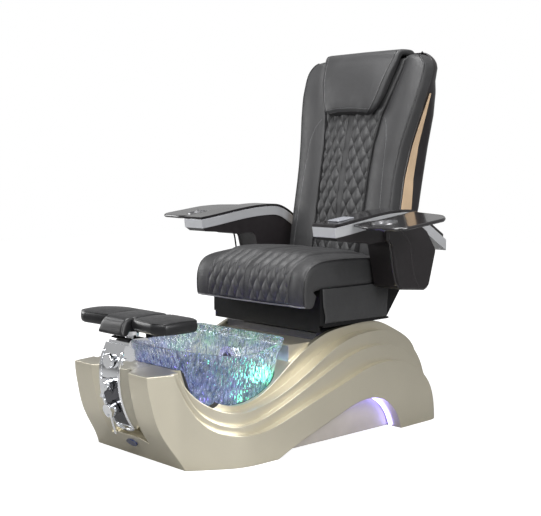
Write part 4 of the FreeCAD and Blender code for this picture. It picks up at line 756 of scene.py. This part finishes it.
def middle_cushion(name, node, bottom, rows, columns, width, gap, bulge, quilting):
    """A quilted cushion in the back's middle. bulge is how far its face stands out, by row and column,
    and quilting is (start, depth, end, fade): where the diamonds start and end, and how deep they are."""
    start, depth, end, fade = quilting

    def surface(u, v, behind):
        half = inner_half(bottom + u) - gap
        return between_widths(-half, half, bottom + u, behind, v / width)

    def relief(u, v):
        z = bottom + u[:, None]
        half = inner_half(z) - gap
        x = (2 * v[None, :] / width - 1) * half
        raised = quilt_relief(x, z - start, half + 20, BACK_PITCH, BACK_DIAMOND_H, depth)
        return raised * np.clip((end - z) / fade, 0, 1)

    piece, *_ = pad(name, surface, bulge, GUSSET, rows, columns, quilt, relief, fill=3.0, cap=4.0)
    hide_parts(node)
    dress("charcoal_leather", "back", piece)


def crowned(places, width):
    """A crown across a cushion: 1 in its middle and 0 at its sides."""
    return 1 - (2 * (places / width) - 1) ** 2


def back_centre():
    """The quilted middle of the back: diamonds either side of a punched strip."""
    bottom, width = LUMBAR_TOP + 0.5, 300.0
    rows = edge_steps(CENTRE_TOP - bottom, 12, 8, 3.2, 2.6)
    columns = edge_steps(width, 9, 8, 2.4, 2.6)
    bulge = 3.0 - 6.0 * crowned(columns[0], width)
    middle_cushion("back_centre", "back_cushion", bottom, rows, columns, width, 1.0, bulge, CENTRE_QUILTING)


def lumbar():
    """The low cushion below the back's middle, with one row of tall diamonds."""
    height, width = LUMBAR_TOP - 0.5 - LUMBAR_BOTTOM, 250.0
    rows = edge_steps(height, 14, 8, 3.0, 2.6)
    columns = edge_steps(width, 10, 8, 2.4, 2.6)
    swell = np.sin(math.pi * np.clip(rows[0] / height, 0, 1))[:, None] ** 0.6
    bulge = 2.0 - 9.0 * crowned(columns[0], width) * swell
    middle_cushion("lumbar_cover", "lumbar_pad", LUMBAR_BOTTOM, rows, columns, width, 1.2, bulge,
                   LUMBAR_QUILTING)


def wings():
    """The two long side bolsters of the back, with a stitched line, and piping on both edges."""
    width = 140.0
    rows = edge_steps(WING_TOP - WING_BOTTOM, 22, 10, 6.0, 2.4)
    columns = edge_steps(width, 15, 10, 3.6, 3.2)

    def limits(z):
        over = np.clip((z - (WING_TOP - SHOULDER)) / SHOULDER, 0, 1)
        return inner_half(z) + 0.5, smooth_read(z, BACK_OUTER) - SHOULDER * (1 - np.sqrt(1 - over ** 2))

    def surface(u, v, behind):
        return between_widths(*limits(WING_BOTTOM + u), WING_BOTTOM + u, behind, v / width)

    def stitch_x(z):
        return np.interp(z, WING_STITCH_Z, WING_STITCH_X)

    def relief(u, v):
        z = WING_BOTTOM + u[:, None]
        low, high = limits(z)
        x = low + (high - low) * v[None, :] / width
        return -0.9 * (sewn(x - stitch_x(z), 2.2) * (z < 1190))

    bulge = 3.0 - 11.0 * np.sin(math.pi * (columns[0] / width))
    piece, face, out = pad("wing_cover_left", surface, bulge, GUSSET, rows, columns, charcoal, relief,
                           fill=4.0, cap=3.0)
    z = WING_BOTTOM + rows[0]
    low, high = limits(z)
    where = (stitch_x(z) - low) / (high - low) * width
    line = np.array([[np.interp(where[i], columns[0], face[i, :, k] + out[i, :, k] * 0.5) for k in range(3)]
                     for i in np.flatnonzero((z > WING_SEWN[0]) & (z < WING_SEWN[1]))])
    for hand, sign in HANDS:
        cover = piece if sign > 0 else mirror_pad("wing_cover_right", piece)
        flip = (sign, 1, 1)
        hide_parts(f"wing_{hand}")
        dress("charcoal_leather", "back", cover, stitches(f"wing_stitching_{hand}", line * flip),
              tube(f"wing_piping_outer_{hand}", (face[5:-5, -8] + out[5:-5, -8] * 1.2) * flip, 2.8, piping),
              tube(f"wing_piping_inner_{hand}", (face[5:-5, 6] + out[5:-5, 6]) * flip, 2.2, piping))


def pillow():
    """The head pillow: a tapered pad that lies on the back and rolls over its top."""
    y_low, y_top = seam_y(PILLOW_BOTTOM), seam_y(1400)
    outer = [(y_low - 20, PILLOW_BOTTOM), (y_low - 34, 1206), (seam_y(1260) - 44, 1260),
             (seam_y(1310) - 48, 1310), (seam_y(1350) - 48, 1350), (y_top - 42, 1400), (y_top - 28, 1430),
             (y_top, PILLOW_TOP - 2), (y_top + 50, PILLOW_TOP - 4), (y_top + 64, 1430)]
    inner = [(y_low - 8, PILLOW_BOTTOM + 1), (seam_y(1230) - 8, 1230), (seam_y(1262) - 3, 1262),
             (seam_y(1300) - 3, 1300), (seam_y(1350) - 3, 1350), (seam_y(1405) - 3, 1405), (y_top + 8, 1416),
             (y_top + 36, 1416), (y_top + 52, 1416), (y_top + 64, 1418)]
    _, length = along(outer, [0])
    rows = edge_steps(length, 20, 10, 5.0, 2.3)
    width = 400.0
    columns = edge_steps(width, 22, 10, 5.0, 2.3)

    def surface(u, v, path):
        line, _ = along(path, u / length)
        half = np.interp(line[:, 1], PILLOW_Z, PILLOW_HALF)
        half = np.where(u > length * 0.8, PILLOW_HALF[-1], half)[:, None]
        t = 2 * v[None, :] / width - 1
        return points_of(half * t, line[:, :1] - 5.0 * (1 - t ** 2) * (path is outer), line[:, 1:])

    def relief(u, v):
        side, end = np.minimum(v, width - v)[None, :], u[:, None]
        border = sewn(side - 24, 2.2) * (end > 22) + sewn(end - 24, 2.2) * (side > 22)
        return -1.8 * np.clip(border, 0, 1) * (end < length * 0.78)

    piece, face, out = pad("head_pillow_cover", surface, outer, inner, rows, columns, charcoal, relief,
                           fill=6.0, cap=7.0)
    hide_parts("head_pillow")
    u, v = rows[0], columns[0]
    last, first = (int(np.searchsorted(u, place)) for place in (length * 0.74, 26))
    left, right = (int(np.searchsorted(v, place)) for place in (26, width - 26))
    raised = face + out * 0.4
    path = np.concatenate([raised[last:first:-1, left], raised[first, left:right], raised[first:last, right]])
    edge = np.concatenate([face[last:8:-1, 8], face[8, 8:-8], face[8:last, -9]])
    dress("charcoal_leather", "back", piece, stitches("pillow_stitching", path),
          tube("pillow_piping", edge, 1.8, piping))


def rest_pads():
    """The footrest's two lobed pads, crowned and full, with piping round their upper edge."""
    width, depth = REST_HALF - REST_CENTRE - 0.6, REST_REAR - REST_FRONT
    rows = edge_steps(depth, 14, 10, 5.0, 2.6)
    columns = edge_steps(width, 14, 10, 5.0, 2.6)

    def surface(u, v, level):
        """Rows run from the front to the rear; the outer end bows like a leaf."""
        z, crown = level
        s, t = u[:, None] / depth, v[None, :] / width
        front = 20 * (1 - t) ** 2 + 26 * np.clip(t - 0.7, 0, 1) ** 1.6 / 0.3 ** 1.6
        rear = -30 * np.clip(t - 0.6, 0, 1) ** 1.7 / 0.4 ** 1.7
        lobe = np.sin(math.pi * s) * (0.4 + 0.6 * np.sin(math.pi * (0.25 + 0.6 * t)))
        return points_of(REST_CENTRE + 0.6 + width * t * (1 - 0.03 * (2 * s - 1) ** 2),
                         REST_FRONT + front + (depth - front + rear) * s, z + crown * lobe)

    piece, face, _ = pad("rest_pad_left", surface, (REST_Z + REST_T - 5, 5.0), (REST_Z + 0.5, 0.0), rows,
                         columns, black_cover, None, fill=6.0, cap=5.0)
    dress("black_leather", "footrest", piece, mirror_pad("rest_pad_right", piece))
    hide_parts("footrest_side_pads")
    edge = np.concatenate([face[6:-6, 6][::-1], face[6, 6:-6], face[6:-6, -7], face[-7, 6:-6][::-1]])
    for hand, sign in HANDS:
        dress("black_leather", "footrest",
              tube(f"rest_piping_{hand}", edge * (sign, 1, 1) + (0, 0, 0.6), 1.8, piping, closed=True))


def rest_centre():
    """The middle pad between the lobes, running down in front as a flared hood."""
    top = REST_Z + REST_T
    outer = [(56, 434), (62, 452), (72, 474), (90, top - 4), (120, top), (190, top + 1),
             (REST_REAR - 12, top - 2)]
    inner = [(88, 433), (92, 440), (98, 447), (108, REST_Z + 0.5), (140, REST_Z + 0.5), (210, REST_Z + 0.5),
             (REST_REAR - 12, REST_Z + 0.5)]
    _, length = along(outer, [0])
    rows = edge_steps(length, 12, 8, 4.0, 2.6)
    width = 2 * REST_CENTRE
    columns = edge_steps(width, 12, 8, 4.0, 2.8)

    def surface(u, v, path):
        line, _ = along(path, u / length)
        half = np.interp(line[:, 1], [432, 462, 490], [REST_CENTRE + 4, REST_CENTRE, REST_CENTRE - 4])
        half = np.where(line[:, 0] > 118, REST_CENTRE - 1.0, half)
        return points_of(half[:, None] * (2 * v[None, :] / width - 1), line[:, :1], line[:, 1:])

    def relief(u, v):
        return -1.6 * sewn(u[:, None] - 52, 3)

    piece, *_ = pad("rest_centre_cover", surface, outer, inner, rows, columns, black_cover, relief,
                    fill=3.0, cap=2.0)
    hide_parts("footrest_centre")
    dress("black_leather", "footrest", piece)


def skirts():
    """The leather-covered side panels below the seat cushion, rolled at their front edge."""
    height = SKIRT_TOP - SKIRT_BOTTOM
    rows = edge_steps(height, 5, 6, 5.0, 2.2)
    columns = edge_steps(SKIRT_WIDTH, 7, 7, 5.0, 2.2)

    def surface(u, v, level):
        x, bulge = level
        s, t = u[:, None] / height, v[None, :] / SKIRT_WIDTH
        front = 768 - 6 * s + 10 * sewn(s - 0.15, 0.25)
        return points_of(x + bulge * np.sin(math.pi * s) * np.sin(math.pi * t) ** 0.3,
                         front + (1108 + 12 * s - front) * t,
                         SKIRT_BOTTOM + 6 * (1 - t) * (1 - s) + height * s)

    def relief(u, v):
        return 0.5 * np.sin(v[None, :] / 33 + u[:, None] / 60)

    piece, *_ = pad("seat_skirt_left", surface, (SKIRT_X + SKIRT_T, 2.0), (SKIRT_X + 0.3, 0.0), rows, columns,
                    charcoal, relief, fill=1.5, cap=1.5)
    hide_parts("seat_skirt")
    dress("charcoal_leather", "carriage", piece, mirror_pad("seat_skirt_right", piece))


def back_shell():
    """The moulded shell behind the cushions: an open trough with round rear corners, a rolled top, and a
    low spine in its middle that leaves the massage carriage its room."""
    foot, top = SHELL_Z[0], SHELL_Z[-1]
    bend = top - SHELL_ROLL
    rolled = bend + SHELL_ROLL * np.sin(np.linspace(0.1, math.pi / 2, 10))
    z = np.concatenate([np.linspace(foot, bend, 46), rolled])
    inset = SHELL_ROLL * (1 - np.sqrt(np.clip(1 - ((z - bend) / SHELL_ROLL) ** 2, 0, 1))) * (z > bend)
    half = outer_half(z) - SHELL_INSET - inset
    front = seam_y(z) + GUSSET + 0.5
    rear = seam_y(z) + np.interp(z, SHELL_Z, SHELL_DEPTH) - inset
    radius = np.minimum(np.interp(z, SHELL_Z, SHELL_CORNER), rear - front - 2)
    raised = np.interp(z, SHELL_Z, SHELL_SPINE)
    turn = np.linspace(0, math.pi / 2, 12)
    rows = []
    for i, r in enumerate(radius):
        side_y = np.linspace(front[i], rear[i] - r, 10)[:-1]
        flat_x = np.linspace(half[i] - r, 0, 26)[1:]
        ease = np.clip((flat_x - SPINE_HALF) / SPINE_FADE, 0, 1)
        x = np.concatenate([np.full(9, half[i]), half[i] - r + r * np.cos(turn), flat_x])
        y = np.concatenate([side_y, rear[i] - r + r * np.sin(turn),
                            rear[i] + raised[i] * (0.5 + 0.5 * np.cos(math.pi * ease))])
        rows.append(points_of(np.concatenate([x, -x[-2::-1]]), np.concatenate([y, y[-2::-1]]), z[i]))
    for share in (0.35, 0.7, 1.0):
        last = rows[len(z) - 1].copy()
        last[:, 1] += (front[-1] - last[:, 1]) * share
        rows.append(last)
    grid = np.array(rows)
    piece = new_piece("back_shell_cover", grid, grid_faces(*grid.shape[:2]), pod_plastic)
    wall = piece.modifiers.new("Solidify", "SOLIDIFY")
    wall.thickness = SHELL_WALL * MM
    wall.offset = -1.0
    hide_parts("back_shell")
    dress("shell_plastic", "back", piece)


def cornered(points, reach):
    """A path whose corners are rounded by short curves that start at most reach before each corner."""
    points = np.array(points, float)
    path = [points[:1]]
    t = np.linspace(0, 1, 7)[:, None]
    for before, here, after in zip(points, points[1:], points[2:]):
        arms = [(end - here) * min(reach / np.linalg.norm(end - here), 0.49) for end in (before, after)]
        path.append(here + arms[0] * (1 - t) ** 2 + arms[1] * t ** 2)
    return np.concatenate([*path, points[-1:]])


def moulded_lines():
    """Raised lines on the pods, thick rims round the trays, and the tap column's chrome bezel."""
    edge = cornered(TRAY_EDGE, TRAY_CORNER)
    low = -TRAY_T / 2 + 0.5
    rim_y = edge[:, 1] - low * math.sin(TRAY_SLOPE)
    rim_z = TRAY_Z0 + (edge[:, 1] - TRAY_Y0) * math.tan(TRAY_SLOPE) + low * math.cos(TRAY_SLOPE)
    for hand, sign in HANDS:
        for kind, line, width in (("ridge", POD_RIDGE, 5.0), ("groove", POD_GROOVE, 3.5)):
            path, _ = along(line, np.linspace(0, 1, 40))
            path = points_of(sign * (POD_OUT - width + 1.6), path[:, 0], path[:, 1])
            bead = tube(f"pod_{kind}_{hand}", path, width, pod_plastic, sides=14)
            dress("shell_plastic", f"arm_{hand}", bead)
        path = points_of(sign * (edge[:, 0] - 2), rim_y, rim_z)
        dress("tray_top", f"tray_{hand}", tube(f"tray_rim_{hand}", path, TRAY_T / 2, gloss_black, sides=16))
    side, _ = along(COLUMN_FRONT, np.linspace(0.08, 1, 40))
    foot_y, foot_z = side[-1]
    near = points_of(COLUMN_HALF, side[:, 0], side[:, 1])
    turn = np.linspace(0, math.pi, 24)[1:-1]
    bend = points_of(COLUMN_HALF * np.cos(turn), foot_y + 9 * np.sin(turn), foot_z - 16 * np.sin(turn))
    path = np.concatenate([near, bend, (near * (-1, 1, 1))[::-1]])
    dress("chrome", "base", tube("column_bezel", path - (0, 1, 0), 5.5, chrome, sides=14))


def beige_panels():
    """The light panels let into the back shell's sides, narrow at both ends."""
    rows = edge_steps(PANEL_TOP - PANEL_BOTTOM, 6, 6, 9.0, 2.2)
    columns = edge_steps(PANEL_WIDTH, 4, 6, 5.0, 2.2)

    def surface(u, v, proud):
        z = PANEL_BOTTOM + u
        rise = np.clip((z - PANEL_BOTTOM) / (PANEL_TOP - PANEL_BOTTOM), 0, 1)[:, None]
        front, rear = 68 + 10 * rise, 139 - 55 * rise ** 1.3
        return points_of((outer_half(z) - SHELL_INSET + proud)[:, None],
                         seam_y(z)[:, None] + front + (rear - front) * (v[None, :] / PANEL_WIDTH), z[:, None])

    piece, *_ = pad("back_side_panel_left", surface, 5.3, 0.4, rows, columns, beige_cover, None,
                    fill=1.0, cap=1.0)
    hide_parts("side_panels")
    dress("beige_leather", "back", piece, mirror_pad("back_side_panel_right", piece))


seat()
back_centre()
lumbar()
wings()
pillow()
rest_pads()
rest_centre()
skirts()
back_shell()
beige_panels()
moulded_lines()


# Room, lights and camera

def plain(name, colour, roughness):
    """A matt surface that the camera sees a little lighter than it is, and white far from the chair, so
    that the backdrop reads as paper."""
    made = Finish(name, colour, roughness)
    made.shade(made.noise(3, 2), 1.01, 0.99)
    seen = made.node("ShaderNodeLightPath")
    far = made.node("ShaderNodeVectorMath", operation="LENGTH")
    made.join(made.place, far.inputs[0])
    glow = made.ramp(far.outputs["Value"], (0.9, 1.8, 0.86, 1.0))
    made.shader.inputs["Emission Color"].default_value = (1, 1, 1, 1)
    glow = made.sum(seen.outputs["Is Camera Ray"], glow, "MULTIPLY")
    made.join(glow, made.shader.inputs["Emission Strength"])
    return made.material


paper = plain("floor_paper", (0.30, 0.30, 0.30), 0.9)
corners = np.array([(-1, -1, -1), (1, -1, -1), (1, 1, -1), (-1, 1, -1)])
corners = corners * (FLOOR_HALF, FLOOR_HALF, FLOOR_DROP)
new_piece("floor", corners, [[0, 1, 2, 3]], paper)

world = bpy.data.worlds.new("room")
bpy.context.scene.world = world
world.use_nodes = True
tree = world.node_tree
rays = tree.nodes.new("ShaderNodeLightPath")
strength = tree.nodes.new("ShaderNodeMath")
for ray, low, high, place in (("Is Camera Ray", ROOM_LIGHT, 1.0, 0),
                              ("Is Glossy Ray", 0.0, ROOM_SHINE - ROOM_LIGHT, 1)):
    level = tree.nodes.new("ShaderNodeMapRange")
    level.inputs["To Min"].default_value = low
    level.inputs["To Max"].default_value = high
    tree.links.new(rays.outputs[ray], level.inputs["Value"])
    tree.links.new(level.outputs["Result"], strength.inputs[place])
sky = tree.nodes["Background"]
sky.inputs["Color"].default_value = (1.0, 1.0, 1.0, 1.0)
tree.links.new(strength.outputs[0], sky.inputs["Strength"])


def lamp(name, place, aim, size, power, colour=(1.0, 1.0, 1.0)):
    """A square soft light at a place, turned to face a point; both in datum millimetres."""
    light = bpy.data.lights.new(name, "AREA")
    light.size = size
    light.energy = power
    light.color = colour
    holder = linked(name, light)
    at, to = metres(place), metres(aim)
    holder.location = at
    holder.rotation_euler = Vector(to - at).to_track_quat("-Z", "Y").to_euler()


lamp("key_light", (900, -1900, 2700), (0, 600, 500), 1.5, 80)
lamp("side_light", (3300, 300, 1900), (0, 700, 500), 1.6, 95)
lamp("top_light", (200, 500, 3400), (0, 800, 600), 1.8, 115)
lamp("left_light", (-3000, -400, 1500), (0, 700, 600), 1.6, 45)
lamp("bowl_violet", (60, 330, 175), (0, 560, 240), 0.09, 0.8, (0.40, 0.25, 1.0))
lamp("bowl_green", (140, 480, 180), (200, 560, 250), 0.06, 0.08, (0.2, 1.0, 0.4))

camera = bpy.data.cameras.new("camera")
camera.sensor_width = SENSOR
camera.lens = LENS
view = linked("camera", camera)
view.location = metres(CAMERA_AT)
view.rotation_euler = (math.radians(90 - CAMERA_DROP), 0.0, math.radians(CAMERA_TURN))
bpy.context.scene.camera = view
bpy.context.scene.view_settings.view_transform = "Standard"
